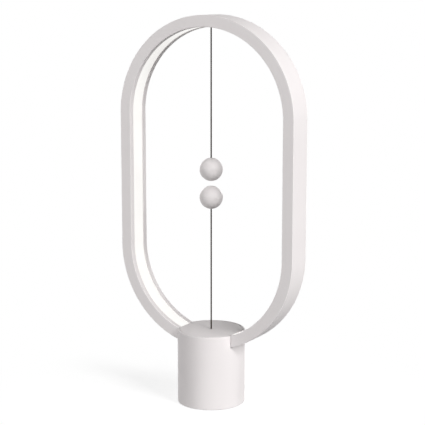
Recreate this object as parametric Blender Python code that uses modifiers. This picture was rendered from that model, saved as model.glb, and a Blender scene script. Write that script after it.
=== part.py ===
"""Magnetic balance lamp.

An upright light ring stands in a round weighted base. One magnet ball hangs on a cord from
the top of the ring. A second one is tied by a cord to a pull switch in the base, and floats
under the first. Letting it go drops the switch and puts the light out.

Units are metres and +Z is up. The origin is on the floor under the middle of the base. The
ring stands in the XZ plane, its front looks along -Y and the power inlet is at the back, +Y.
"""

import math

import bmesh
import bpy
from mathutils import Matrix, Vector

# Fits, and how far a cutter runs past what it cuts
GAP = 0.0003
OVERRUN = 0.001
MERGE = 0.00001

# Base housing
BASE_DIAMETER = 0.0698
BASE_HEIGHT = 0.0774
HOUSING_WALL = 0.0020
HOUSING_LIFT = 0.0005
EDGE_ROUND = 0.0006
LEDGE_WIDTH = 0.0016
LEDGE_HEIGHT = 0.0018

# Screw columns that stand on the housing wall
COLUMN_RADIUS = 0.0036
COLUMN_SINK = 0.0003
COLUMN_ANGLES = (45.0, 135.0, 225.0, 315.0)

# Top cap and its cord eyelet
CAP_THICKNESS = 0.0020
SKIRT_WIDTH = 0.0014
SKIRT_DROP = 0.0030
EYELET_FLANGE_RADIUS = 0.0021
EYELET_FLANGE_THICKNESS = 0.0007
EYELET_BARREL_WALL = 0.0006
EYELET_FLARE = 0.0004
EYELET_TAIL = 0.0010

# Bottom cover, rubber foot and ballast
COVER_THICKNESS = 0.0030
FOOT_THICKNESS = 0.0016
FOOT_WIDTH = 0.0100
FOOT_EDGE_MARGIN = 0.0012
FOOT_EDGE_ROUND = 0.0003
BALLAST_EDGE = 0.0008

# Light ring
RING_WIDTH = 0.2022
RING_STRAIGHT_LENGTH = 0.1380
RING_THICKNESS = 0.0118
RING_DEPTH = 0.0290
RING_SINK = 0.0176
RING_EDGE = 0.0004
SHELL_WALL = 0.0018
LIP_WIDTH = 0.0061
LIP_THICKNESS = 0.0016
LOCATING_RIB = 0.0012

# Diffuser and light strip
DIFFUSER_FACE_THICKNESS = 0.0013
DIFFUSER_BASE_THICKNESS = 0.0015
DIFFUSER_LEG_THICKNESS = 0.0010
STRIP_WIDTH = 0.0100
STRIP_THICKNESS = 0.0004
STRIP_LEAD_LAP = 0.0015
LED_LENGTH = 0.0028
LED_WIDTH = 0.0035
LED_HEIGHT = 0.0011
LED_ROOT = 0.0001
LED_COUNT = 32

# Leg plugs and the saddle under the ring
PLUG_LENGTH = 0.0130
PLUG_LEAD_ROOM = 0.0028
LEG_SCREW_SETBACK = 0.0060
LEG_SCREW_TIP_ROOM = 0.0015
SADDLE_DROP = 0.0008
SADDLE_THICKNESS = 0.0030
SADDLE_END_ROOM = 0.0013
SADDLE_SIDE_ROOM = 0.0003
SADDLE_ROOT = 0.0010

# Screws: head radius, head height, shank radius, hexagon socket radius and depth
SCREW_HEAD_RADIUS = 0.0020
SCREW_HEAD_HEIGHT = 0.0016
SCREW_SHANK_RADIUS = 0.0011
SCREW_SOCKET_RADIUS = 0.0008
SCREW_SOCKET_DEPTH = 0.0008
SCREW_EDGE = 0.0003
SCREW_TIP = 0.0008
HOUSING_SCREW_LENGTH = 0.0120
SWITCH_SCREW_LENGTH = 0.0045
BOARD_SCREW_LENGTH = 0.0045
BALLAST_SCREW_LENGTH = 0.0090
COUNTERBORE_DEPTH = 0.0019

# Pull switch
SWITCH_RADIUS = 0.0060
SWITCH_WALL = 0.0016
SWITCH_RISE = 0.0030
SWITCH_LENGTH = 0.0180
SWITCH_TOP_WALL = 0.0018
SWITCH_FLANGE_WIDTH = 0.0124
SWITCH_FLANGE_LENGTH = 0.0280
SWITCH_FLANGE_THICKNESS = 0.0016
SWITCH_SCREW_EDGE_ROOM = 0.0032
SWITCH_TRAVEL = 0.0030
END_CAP_THICKNESS = 0.0012
END_CAP_SPIGOT = 0.0016
SLIDER_HEAD_HEIGHT = 0.0034
SLIDER_STEM_RADIUS = 0.0026
SLIDER_STEM_TAIL = 0.0024
SPRING_WIRE_RADIUS = 0.00025
SPRING_TURNS = 4.5
SPRING_POINTS_PER_TURN = 10

# Control board and what stands on it
BOARD_WIDTH = 0.0240
BOARD_FRONT_ROOM = 0.0037
BOARD_THICKNESS = 0.0016
BOARD_EDGE_ROOM = 0.0010
POST_HEIGHT = 0.0080
POST_RADIUS = 0.0024
POST_STUD_RADIUS = 0.0013
POST_STUD_LENGTH = 0.0050
POST_SIDES = 6
FRONT_POST_SIDE_REACH = 0.0090
FRONT_POST_EDGE_ROOM = 0.0030
REAR_POST_SOCKET_ROOM = 0.0084
KEY_WIDTH = 0.0062
KEY_HEIGHT = 0.0031
KEY_BUTTON_RADIUS = 0.0016
KEY_BUTTON_HEIGHT = 0.0008
CHIP_WIDTH = 0.0060
CHIP_HEIGHT = 0.0014
CHIP_KEY_ROOM = 0.0005
CHIP_EDGE_ROOM = 0.0085
CAPACITOR_RADIUS = 0.0032
CAPACITOR_HEIGHT = 0.0060
CAPACITOR_KEY_ROOM = 0.0004
CAPACITOR_EDGE_ROOM = 0.0068

# Power inlet at the back
PORT_WIDTH = 0.0115
PORT_HEIGHT = 0.0065
PORT_DEPTH = 0.0047
PORT_SLEEVE_WALL = 0.0015
PORT_CORNER = 0.0014
SOCKET_WIDTH = 0.0090
SOCKET_HEIGHT = 0.0033
SOCKET_LENGTH = 0.0075
SOCKET_WALL = 0.00035
SOCKET_MOUTH_DEPTH = 0.0060
TONGUE_WIDTH = 0.0067
TONGUE_THICKNESS = 0.0007
TONGUE_SETBACK = 0.0006

# Cords
CORD_RADIUS = 0.0007
CORD_LINK = 0.0030
CORD_EXIT_ROOM = 0.0005
UPPER_CORD_STUB = 0.0010
CORD_SPACING = 0.0040
FERRULE_WALL = 0.0005
FERRULE_LENGTH = 0.0030
FERRULE_END = 0.0006
ANCHOR_LENGTH = 0.0120
ANCHOR_THICKNESS = 0.0012
ANCHOR_STRIP_ROOM = 0.0011

# Balls and their magnets
BALL_DIAMETER = 0.0237
BALL_DROP = 0.1435
BALL_SPACE = 0.0051
BALL_WALL = 0.0015
BALL_COLLAR_WALL = 0.0010
BALL_COLLAR_HEIGHT = 0.0015
BALL_PAD_RADIUS = 0.0032
BALL_PAD_THICKNESS = 0.0010
MAGNET_RADIUS = 0.0050
MAGNET_THICKNESS = 0.0030
MAGNET_EDGE = 0.0003
MAGNET_SKIN = 0.0010
MAGNET_RIM = 0.0010

# Lead from the board to the light strip
LEAD_RADIUS = 0.0008
LEAD_WALL_ROOM = 0.0026
LEAD_HOLE_ROOM = 0.0005
LEAD_BOARD_SIDE_REACH = 0.0098
LEAD_BOARD_REAR_REACH = 0.0045
LEAD_DROP_SHARES = ((0.99, 0.10, 0.80), (0.93, 0.25, 0.55), (0.72, 0.60, 0.34), (0.45, 0.90, 0.24))

# Steps round turned and curved shapes
HOUSING_STEPS = 40
BALL_STEPS = 24
SMALL_STEPS = 16
SCREW_STEPS = 8
ENVELOPE_STEPS = 96
ARC_STEP = 6.0
BALL_ARC_STEP = 15.0
ROUND_POINTS = 3
SHARP_ANGLE = 32.0

# Heights and radii that follow from the sizes above
BASE_RADIUS = BASE_DIAMETER / 2
BORE_RADIUS = BASE_RADIUS - HOUSING_WALL
COLUMN_CIRCLE = BORE_RADIUS + COLUMN_SINK - COLUMN_RADIUS
CAP_BOTTOM = BASE_HEIGHT - CAP_THICKNESS
CORD_HOLE = CORD_RADIUS + GAP
EYELET_BARREL_RADIUS = CORD_HOLE + EYELET_BARREL_WALL
SCREW_HOLE = SCREW_SHANK_RADIUS + GAP

OUTER = RING_WIDTH / 2
INNER = OUTER - RING_THICKNESS
RING_BOTTOM = BASE_HEIGHT - RING_SINK
LOWER_CENTRE = RING_BOTTOM + OUTER
UPPER_CENTRE = LOWER_CENTRE + RING_STRAIGHT_LENGTH
RING_TOP = UPPER_CENTRE + OUTER
HALF_DEPTH = RING_DEPTH / 2

# How far out of the middle the lead, the plugs and the ends of ring and strip are
LEAD_REACH = BORE_RADIUS - LEAD_WALL_ROOM
STRIP_END_REACH = LEAD_REACH - STRIP_LEAD_LAP
PLUG_REACH = LEAD_REACH - PLUG_LEAD_ROOM
LEG_END_REACH = PLUG_REACH - PLUG_LENGTH
LEG_SCREW_REACH = PLUG_REACH - LEG_SCREW_SETBACK

SADDLE_TOP = RING_BOTTOM - SADDLE_DROP
SADDLE_BOTTOM = SADDLE_TOP - SADDLE_THICKNESS
SADDLE_HALF_WIDTH = HALF_DEPTH - SADDLE_SIDE_ROOM
SADDLE_OUTER_REACH = math.sqrt((BORE_RADIUS - GAP) ** 2 - SADDLE_HALF_WIDTH**2) - SADDLE_END_ROOM
COLUMN_TOP = SADDLE_BOTTOM - GAP
COVER_TOP = HOUSING_LIFT + COVER_THICKNESS
COLUMN_BOTTOM = COVER_TOP + GAP

SWITCH_TOP = SADDLE_TOP + SWITCH_RISE
SWITCH_BOTTOM = SWITCH_TOP - SWITCH_LENGTH
SWITCH_BORE = SWITCH_RADIUS - SWITCH_WALL
SWITCH_SCREW_REACH = SWITCH_FLANGE_LENGTH / 2 - SWITCH_SCREW_EDGE_ROOM
END_CAP_TOP = SWITCH_BOTTOM - GAP
SLIDER_HEAD_BOTTOM = END_CAP_TOP + END_CAP_SPIGOT + GAP + SWITCH_TRAVEL
SLIDER_HEAD_TOP = SLIDER_HEAD_BOTTOM + SLIDER_HEAD_HEIGHT
SLIDER_BOTTOM = END_CAP_TOP - END_CAP_THICKNESS - SLIDER_STEM_TAIL
FERRULE_RADIUS = CORD_HOLE + FERRULE_WALL

KEY_TOP = SLIDER_BOTTOM - SWITCH_TRAVEL - GAP
BOARD_TOP = KEY_TOP - KEY_BUTTON_HEIGHT - KEY_HEIGHT - GAP
BOARD_BOTTOM = BOARD_TOP - BOARD_THICKNESS
BALLAST_TOP = BOARD_BOTTOM - GAP - POST_HEIGHT - GAP
BALLAST_BOTTOM = COVER_TOP + GAP
BALLAST_RADIUS = COLUMN_CIRCLE - COLUMN_RADIUS - GAP
FOOT_OUTER = COLUMN_CIRCLE - SCREW_HEAD_RADIUS - GAP - FOOT_EDGE_MARGIN
FOOT_INNER = FOOT_OUTER - FOOT_WIDTH
SLEEVE_FRONT = BASE_RADIUS - PORT_DEPTH
SOCKET_FACE = SLEEVE_FRONT - GAP
SOCKET_CENTRE = BOARD_TOP + GAP + SOCKET_HEIGHT / 2
BOARD_FRONT_REACH = BALLAST_RADIUS - BOARD_FRONT_ROOM
FRONT_POST_REACH = BOARD_FRONT_REACH - FRONT_POST_EDGE_ROOM
REAR_POST_REACH = SOCKET_FACE - SOCKET_LENGTH - REAR_POST_SOCKET_ROOM

BALL_RADIUS = BALL_DIAMETER / 2
UPPER_BALL = RING_TOP - RING_THICKNESS - BALL_DROP
LOWER_BALL = UPPER_BALL - BALL_DIAMETER - BALL_SPACE
BALL_PAD = BALL_RADIUS - BALL_WALL - BALL_PAD_THICKNESS
BALL_FERRULE_TOP = BALL_PAD - GAP

DIFFUSER_BACK = RING_THICKNESS - LIP_THICKNESS - GAP - DIFFUSER_BASE_THICKNESS
DIFFUSER_FRONT = DIFFUSER_BACK + DIFFUSER_BASE_THICKNESS + DIFFUSER_FACE_THICKNESS
WINDOW_HALF = HALF_DEPTH - LIP_WIDTH
DIFFUSER_HALF = HALF_DEPTH - SHELL_WALL - LOCATING_RIB - GAP
DIFFUSER_ROOM_HALF = DIFFUSER_HALF - DIFFUSER_LEG_THICKNESS
STRIP_BACK = SHELL_WALL + GAP
STRIP_FRONT = STRIP_BACK + STRIP_THICKNESS

# The cord turns about a point this far below the flat end of the piece above it
CORD_TURN = CORD_RADIUS + GAP
UPPER_STUB_END = RING_TOP - RING_THICKNESS - UPPER_CORD_STUB
UPPER_SIDE_PIVOT = UPPER_STUB_END - CORD_TURN
UPPER_FORE_PIVOT = UPPER_SIDE_PIVOT - CORD_LINK - CORD_TURN
LOWER_STUB_END = BASE_HEIGHT + SWITCH_TRAVEL + CORD_EXIT_ROOM
LOWER_SIDE_PIVOT = LOWER_STUB_END + CORD_TURN
LOWER_FORE_PIVOT = LOWER_SIDE_PIVOT + CORD_LINK + CORD_TURN


def make_collection(name):
    made = bpy.data.collections.new(name)
    bpy.context.scene.collection.children.link(made)
    return made


for old in list(bpy.data.objects):
    bpy.data.objects.remove(old)
PARTS = make_collection("magnetic_balance_lamp")
CUTTERS = make_collection("cutters")


def finish(name, colour, roughness, metallic=0.0):
    """A plain material with its colour, roughness and metal value."""
    made = bpy.data.materials.new(name)
    made.use_nodes = True
    shader = made.node_tree.nodes["Principled BSDF"]
    shader.inputs["Base Color"].default_value = (*colour, 1.0)
    shader.inputs["Roughness"].default_value = roughness
    shader.inputs["Metallic"].default_value = metallic
    return made


WHITE_PLASTIC = finish("white_plastic", (0.80, 0.77, 0.77), 0.55)
OPAL = finish("opal_diffuser", (0.93, 0.93, 0.92), 0.45)
CORD = finish("brown_cord", (0.075, 0.052, 0.045), 0.85)
STEEL = finish("zinc_steel", (0.62, 0.63, 0.64), 0.35, 1.0)
BRASS = finish("brass", (0.72, 0.55, 0.27), 0.35, 1.0)
IRON = finish("ballast_iron", (0.16, 0.16, 0.17), 0.60, 1.0)
MAGNET = finish("nickel_magnet", (0.70, 0.69, 0.67), 0.22, 1.0)
RUBBER = finish("foot_rubber", (0.10, 0.10, 0.105), 0.85)
BLACK_PLASTIC = finish("black_plastic", (0.035, 0.035, 0.038), 0.50)
BOARD_GREEN = finish("board_resin", (0.05, 0.20, 0.11), 0.40)
STRIP_WHITE = finish("strip_board", (0.85, 0.85, 0.82), 0.50)
NATURAL_PLASTIC = finish("natural_nylon", (0.74, 0.72, 0.66), 0.50)


def add(name, mesh, material, at=(0, 0, 0)):
    """Puts a mesh in the scene as one named object."""
    made = bpy.data.objects.new(name, mesh)
    made.location = at
    if material and not mesh.materials:
        mesh.materials.append(material)
    PARTS.objects.link(made)
    return made


def helper(made):
    """Turns an object into a cutter or a guide that a render leaves out."""
    for collection in list(made.users_collection):
        collection.objects.unlink(made)
    CUTTERS.objects.link(made)
    made.hide_render = True
    made.display_type = "WIRE"
    return made


def finished_mesh(name, shape):
    mesh = bpy.data.meshes.new(name)
    bmesh.ops.recalc_face_normals(shape, faces=shape.faces)
    shape.to_mesh(mesh)
    shape.free()
    mesh.shade_smooth()
    mesh.set_sharp_from_angle(angle=math.radians(SHARP_ANGLE))
    return mesh


def box(name, size, centre, material=None):
    shape = bmesh.new()
    bmesh.ops.create_cube(shape, size=1, matrix=Matrix.Diagonal((*size, 1)))
    return add(name, finished_mesh(name, shape), material, centre)


def cylinder(name, radius, bottom, top, at=(0, 0), material=None, steps=SMALL_STEPS):
    """An upright cylinder between two heights."""
    shape = bmesh.new()
    bmesh.ops.create_cone(
        shape, cap_ends=True, segments=steps, radius1=radius, radius2=radius, depth=top - bottom
    )
    return add(name, finished_mesh(name, shape), material, (*at, (bottom + top) / 2))


def turn(made, steps):
    """Spins an outline round the object's own Z axis."""
    screw = made.modifiers.new("turn", "SCREW")
    screw.steps = screw.render_steps = steps
    screw.use_merge_vertices = True
    screw.merge_threshold = MERGE
    screw.use_smooth_shade = True
    return made


def outline_mesh(name, points, loop):
    """An outline of (radius, height) points, which runs down its outer side."""
    mesh = bpy.data.meshes.new(name)
    edges = [(i, i + 1) for i in range(len(points) - 1)]
    if loop:
        edges.append((len(points) - 1, 0))
    mesh.from_pydata([(r, 0, z) for r, z in points], edges, [])
    return mesh


def turned(name, points, material, at=(0, 0, 0), steps=SMALL_STEPS, loop=False):
    return turn(add(name, outline_mesh(name, points, loop), material, at), steps)


def cut(target, *cutters):
    for cutter in cutters:
        step = target.modifiers.new(f"cut_{cutter.name}", "BOOLEAN")
        step.operation = "DIFFERENCE"
        step.solver = "EXACT"
        step.object = helper(cutter)
    return target


def fuse(target, *others):
    for other in others:
        step = target.modifiers.new(f"fuse_{other.name}", "BOOLEAN")
        step.operation = "UNION"
        step.solver = "EXACT"
        step.object = helper(other)
    return target


def line_curve(name, points, closed=False, flat=True):
    """A curve of straight stretches. Each point may carry a share of the full thickness."""
    curve = bpy.data.curves.new(name, "CURVE")
    curve.dimensions = "2D" if flat else "3D"
    spline = curve.splines.new("POLY")
    spline.points.add(len(points) - 1)
    for place, point in zip(spline.points, points):
        place.co = (*point, 0, 1) if flat else (*point, 1)
    spline.use_cyclic_u = closed
    return curve


def solid_from_curve(made):
    """Replaces a curve object by the mesh that it draws, with its end caps joined on."""
    bpy.context.view_layer.update()
    graph = bpy.context.evaluated_depsgraph_get()
    mesh = bpy.data.meshes.new_from_object(made.evaluated_get(graph))
    shape = bmesh.new()
    shape.from_mesh(mesh)
    bmesh.ops.remove_doubles(shape, verts=shape.verts, dist=MERGE)
    shape.to_mesh(mesh)
    shape.free()
    mesh.shade_smooth()
    mesh.set_sharp_from_angle(angle=math.radians(SHARP_ANGLE))
    name, place = made.name, made.matrix_world.copy()
    bpy.data.objects.remove(made)
    solid = add(name, mesh, None)
    solid.matrix_world = place
    return solid


def arc(radius, height, start, end, step=ARC_STEP):
    """Points on an arc about (0, height), from one angle to another in degrees."""
    count = max(1, math.ceil(abs(end - start) / step))
    angles = [math.radians(start + (end - start) * i / count) for i in range(count + 1)]
    return [(radius * math.cos(a), height + radius * math.sin(a)) for a in angles]


def reach_angle(reach):
    """Angle from straight down, in degrees, at which the ring's outer face is this far out."""
    return math.degrees(math.asin(reach / OUTER))


def ring_route(reach):
    """The outer face of the ring from its left leg over the top to its right leg, as (x, z)."""
    leg = reach_angle(reach)
    left = arc(OUTER, LOWER_CENTRE, 270 - leg, 180)
    top = arc(OUTER, UPPER_CENTRE, 180, 0)
    right = arc(OUTER, LOWER_CENTRE, 0, leg - 90)
    return left + top + right


def along_ring(name, section, route, material):
    """Carries a section of (depth into the ring, y) points along the ring's outer face."""
    profile = bpy.data.objects.new("section", line_curve("section", [(d, -y) for d, y in section], True))
    CUTTERS.objects.link(profile)
    curve = line_curve(name, route)
    curve.bevel_mode = "OBJECT"
    curve.bevel_object = profile
    curve.use_fill_caps = True
    curve.materials.append(material)
    made = bpy.data.objects.new(name, curve)
    made.rotation_euler = (math.radians(90), 0, 0)
    PARTS.objects.link(made)
    solid = solid_from_curve(made)
    bpy.data.objects.remove(profile)
    return solid


def tube(name, points, radius, material, at=(0, 0, 0), shares=None, resolution=2):
    """A round wire or cord along points, with closed ends. Shares thin it at some points."""
    curve = line_curve(name, points, flat=False)
    curve.bevel_depth = radius
    curve.bevel_resolution = resolution
    curve.use_fill_caps = True
    for place, share in zip(curve.splines[0].points, shares or []):
        place.radius = share
    return add(name, curve, material, at)


def outer_height(reach):
    """Height of the ring's outer face at a distance out from the middle, near the base."""
    return LOWER_CENTRE - math.sqrt(OUTER**2 - reach**2)


def joint_empty(name, height):
    made = bpy.data.objects.new(name, None)
    made.location = (0, 0, height)
    PARTS.objects.link(made)
    return made


def carry(carrier, *pieces):
    """Hangs pieces on a joint's empty, and leaves them where they are."""
    for piece in pieces:
        piece.parent = carrier
        piece.matrix_parent_inverse = Matrix.Translation(-carrier.location)


def column_places():
    for angle in COLUMN_ANGLES:
        turn_by = math.radians(angle)
        yield COLUMN_CIRCLE * math.cos(turn_by), COLUMN_CIRCLE * math.sin(turn_by)


def ring_room():
    """The space of the ring's round bottom, which the housing and the saddle leave free."""
    shape = bmesh.new()
    radius = OUTER + GAP
    bmesh.ops.create_cone(
        shape,
        cap_ends=True,
        segments=ENVELOPE_STEPS,
        radius1=radius,
        radius2=radius,
        depth=RING_DEPTH + 2 * GAP,
        matrix=Matrix.Rotation(math.radians(90), 4, "X"),
    )
    return add("ring_room", finished_mesh("ring_room", shape), None, (0, 0, LOWER_CENTRE))


def screw(name, length, place, up=False):
    """A pan head screw whose head sits at place. It points down, or up if it is asked to."""
    profile = [
        (0, SCREW_HEAD_HEIGHT - SCREW_SOCKET_DEPTH),
        (SCREW_SOCKET_RADIUS, SCREW_HEAD_HEIGHT - SCREW_SOCKET_DEPTH),
        (SCREW_SOCKET_RADIUS, SCREW_HEAD_HEIGHT),
        (SCREW_HEAD_RADIUS - SCREW_EDGE, SCREW_HEAD_HEIGHT),
        (SCREW_HEAD_RADIUS, SCREW_HEAD_HEIGHT - SCREW_EDGE),
        (SCREW_HEAD_RADIUS, 0),
        (SCREW_SHANK_RADIUS, 0),
        (SCREW_SHANK_RADIUS, SCREW_TIP - length),
        (0, -length),
    ]
    made = turned(name, profile, STEEL, place, SCREW_STEPS)
    if up:
        made.rotation_euler = (math.radians(180), 0, 0)
    return made


def make_housing():
    """The round wall, with a ledge under the cap, a ledge over the cover and four columns."""
    cap_ledge = CAP_BOTTOM - GAP
    low_ledge = COLUMN_BOTTOM + LEDGE_HEIGHT
    inner = BORE_RADIUS - LEDGE_WIDTH
    top_round = arc(EDGE_ROUND, BASE_HEIGHT - EDGE_ROUND, 90, 0, 90 / ROUND_POINTS)
    wall = [(BASE_RADIUS - EDGE_ROUND + r, z) for r, z in top_round] + [
        (BASE_RADIUS, HOUSING_LIFT + EDGE_ROUND),
        (BASE_RADIUS - EDGE_ROUND, HOUSING_LIFT),
        (BORE_RADIUS, HOUSING_LIFT),
        (BORE_RADIUS, COLUMN_BOTTOM),
        (inner, COLUMN_BOTTOM),
        (inner, low_ledge),
        (BORE_RADIUS, low_ledge + LEDGE_WIDTH),
        (BORE_RADIUS, cap_ledge - LEDGE_HEIGHT - LEDGE_WIDTH),
        (inner, cap_ledge - LEDGE_HEIGHT),
        (inner, cap_ledge),
        (BORE_RADIUS, cap_ledge),
        (BORE_RADIUS, BASE_HEIGHT),
    ]
    housing = turned("base_housing", wall, WHITE_PLASTIC, steps=HOUSING_STEPS, loop=True)
    for index, place in enumerate(column_places(), 1):
        column = cylinder(f"column_{index}", COLUMN_RADIUS, COLUMN_BOTTOM, COLUMN_TOP, place)
        low_hole = cylinder(
            f"column_low_hole_{index}", SCREW_HOLE, COLUMN_BOTTOM - OVERRUN,
            COLUMN_BOTTOM + HOUSING_SCREW_LENGTH, place, steps=SCREW_STEPS,
        )
        top_hole = cylinder(
            f"column_top_hole_{index}", SCREW_HOLE, COLUMN_TOP - HOUSING_SCREW_LENGTH,
            COLUMN_TOP + OVERRUN, place, steps=SCREW_STEPS,
        )
        fuse(housing, column)
        cut(housing, low_hole, top_hole)
    return housing


def port_block(name, margin, front, back):
    """A block round the inlet, wider than the port's mouth by a margin on every side."""
    size = (PORT_WIDTH + 2 * margin, back - front, PORT_HEIGHT + 2 * margin)
    made = box(name, size, (0, (front + back) / 2, SOCKET_CENTRE))
    shape = bmesh.new()
    shape.from_mesh(made.data)
    along = [edge for edge in shape.edges if is_along_y(edge)]
    bmesh.ops.bevel(
        shape, geom=along, offset=PORT_CORNER + margin, segments=ROUND_POINTS, affect="EDGES",
        profile=0.5,
    )
    shape.to_mesh(made.data)
    shape.free()
    return made


def is_along_y(edge):
    first, last = (v.co for v in edge.verts)
    return abs(first.x - last.x) < MERGE and abs(first.z - last.z) < MERGE


def make_port(housing):
    """The sunk mouth in the back wall, through which a plug reaches the socket."""
    fuse(housing, port_block("port_sleeve", PORT_SLEEVE_WALL, SLEEVE_FRONT, BORE_RADIUS + GAP))
    cut(housing, port_block("port_mouth", 0, SLEEVE_FRONT - OVERRUN, BASE_RADIUS + OVERRUN))


def make_cap():
    """The round top, notched where the two legs of the ring rise out of the base."""
    radius = BORE_RADIUS - GAP
    skirt_outer = BORE_RADIUS - LEDGE_WIDTH - GAP
    skirt_inner = skirt_outer - SKIRT_WIDTH
    skirt_bottom = CAP_BOTTOM - SKIRT_DROP
    recess = BASE_HEIGHT - EYELET_FLANGE_THICKNESS - GAP
    profile = [
        (EYELET_FLANGE_RADIUS + GAP, BASE_HEIGHT),
        (radius, BASE_HEIGHT),
        (radius, CAP_BOTTOM),
        (skirt_outer, CAP_BOTTOM),
        (skirt_outer, skirt_bottom),
        (skirt_inner, skirt_bottom),
        (skirt_inner, CAP_BOTTOM),
        (EYELET_BARREL_RADIUS + GAP, CAP_BOTTOM),
        (EYELET_BARREL_RADIUS + GAP, recess),
        (EYELET_FLANGE_RADIUS + GAP, recess),
    ]
    cap = turned("top_cap", profile, WHITE_PLASTIC, steps=HOUSING_STEPS, loop=True)
    half = HALF_DEPTH + GAP
    section = [
        (OUTER + GAP, half),
        (OUTER + GAP, -half),
        (INNER - GAP, -half),
        (INNER - GAP, half),
    ]
    leg_room = turned("leg_room", section, None, (0, 0, LOWER_CENTRE), ENVELOPE_STEPS, True)
    leg_room.rotation_euler = (math.radians(90), 0, 0)
    return cut(cap, leg_room)


def make_eyelet():
    """A flanged bush in the cap. Its mouth is flared so that the cord isn't cut."""
    profile = [
        (CORD_HOLE + EYELET_FLARE, BASE_HEIGHT),
        (EYELET_FLANGE_RADIUS, BASE_HEIGHT),
        (EYELET_FLANGE_RADIUS, BASE_HEIGHT - EYELET_FLANGE_THICKNESS),
        (EYELET_BARREL_RADIUS, BASE_HEIGHT - EYELET_FLANGE_THICKNESS),
        (EYELET_BARREL_RADIUS, CAP_BOTTOM - EYELET_TAIL),
        (CORD_HOLE, CAP_BOTTOM - EYELET_TAIL),
        (CORD_HOLE, BASE_HEIGHT - EYELET_FLARE),
    ]
    return turned("cord_eyelet", profile, WHITE_PLASTIC, loop=True)


def make_bottom():
    """Cover, rubber foot, ballast and the screws that hold them."""
    radius = BORE_RADIUS - GAP
    groove = FOOT_THICKNESS + GAP
    profile = [
        (0, COVER_TOP),
        (radius, COVER_TOP),
        (radius, HOUSING_LIFT),
        (FOOT_OUTER + GAP, HOUSING_LIFT),
        (FOOT_OUTER + GAP, groove),
        (FOOT_INNER - GAP, groove),
        (FOOT_INNER - GAP, HOUSING_LIFT),
        (0, HOUSING_LIFT),
    ]
    cover = turned("bottom_cover", profile, WHITE_PLASTIC, steps=HOUSING_STEPS)
    seat = HOUSING_LIFT + COUNTERBORE_DEPTH
    head_room = SCREW_HEAD_RADIUS + GAP
    for index, place in enumerate(column_places(), 1):
        cut(
            cover,
            cylinder(f"cover_hole_{index}", SCREW_HOLE, HOUSING_LIFT - OVERRUN, COVER_TOP + OVERRUN,
                     place, steps=SCREW_STEPS),
            cylinder(f"cover_seat_{index}", head_room, HOUSING_LIFT - OVERRUN, seat, place),
        )
        screw(f"cover_screw_{index}", HOUSING_SCREW_LENGTH, (*place, seat - GAP), up=True)
    cut(
        cover,
        cylinder("ballast_hole", SCREW_HOLE, HOUSING_LIFT - OVERRUN, COVER_TOP + OVERRUN,
                 steps=SCREW_STEPS),
        cylinder("ballast_seat", head_room, HOUSING_LIFT - OVERRUN, seat),
    )
    screw("ballast_screw", BALLAST_SCREW_LENGTH, (0, 0, seat - GAP), up=True)

    foot = [
        (FOOT_INNER, FOOT_THICKNESS),
        (FOOT_OUTER, FOOT_THICKNESS),
        (FOOT_OUTER, FOOT_EDGE_ROUND),
        (FOOT_OUTER - FOOT_EDGE_ROUND, 0),
        (FOOT_INNER + FOOT_EDGE_ROUND, 0),
        (FOOT_INNER, FOOT_EDGE_ROUND),
    ]
    turned("foot_pad", foot, RUBBER, steps=HOUSING_STEPS // 2, loop=True)

    weight = [
        (0, BALLAST_TOP),
        (BALLAST_RADIUS - BALLAST_EDGE, BALLAST_TOP),
        (BALLAST_RADIUS, BALLAST_TOP - BALLAST_EDGE),
        (BALLAST_RADIUS, BALLAST_BOTTOM + BALLAST_EDGE),
        (BALLAST_RADIUS - BALLAST_EDGE, BALLAST_BOTTOM),
        (0, BALLAST_BOTTOM),
    ]
    ballast = turned("ballast_weight", weight, IRON, steps=HOUSING_STEPS // 2)
    thread = cylinder("ballast_thread", SCREW_HOLE, BALLAST_BOTTOM - OVERRUN,
                      BALLAST_BOTTOM + BALLAST_SCREW_LENGTH, steps=SCREW_STEPS)
    cut(ballast, thread)
    for index, place in enumerate(post_places(), 1):
        cut(
            ballast,
            cylinder(f"post_hole_{index}", POST_STUD_RADIUS + GAP,
                     BALLAST_TOP - POST_STUD_LENGTH - GAP, BALLAST_TOP + OVERRUN, place,
                     steps=SCREW_STEPS),
        )


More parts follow.
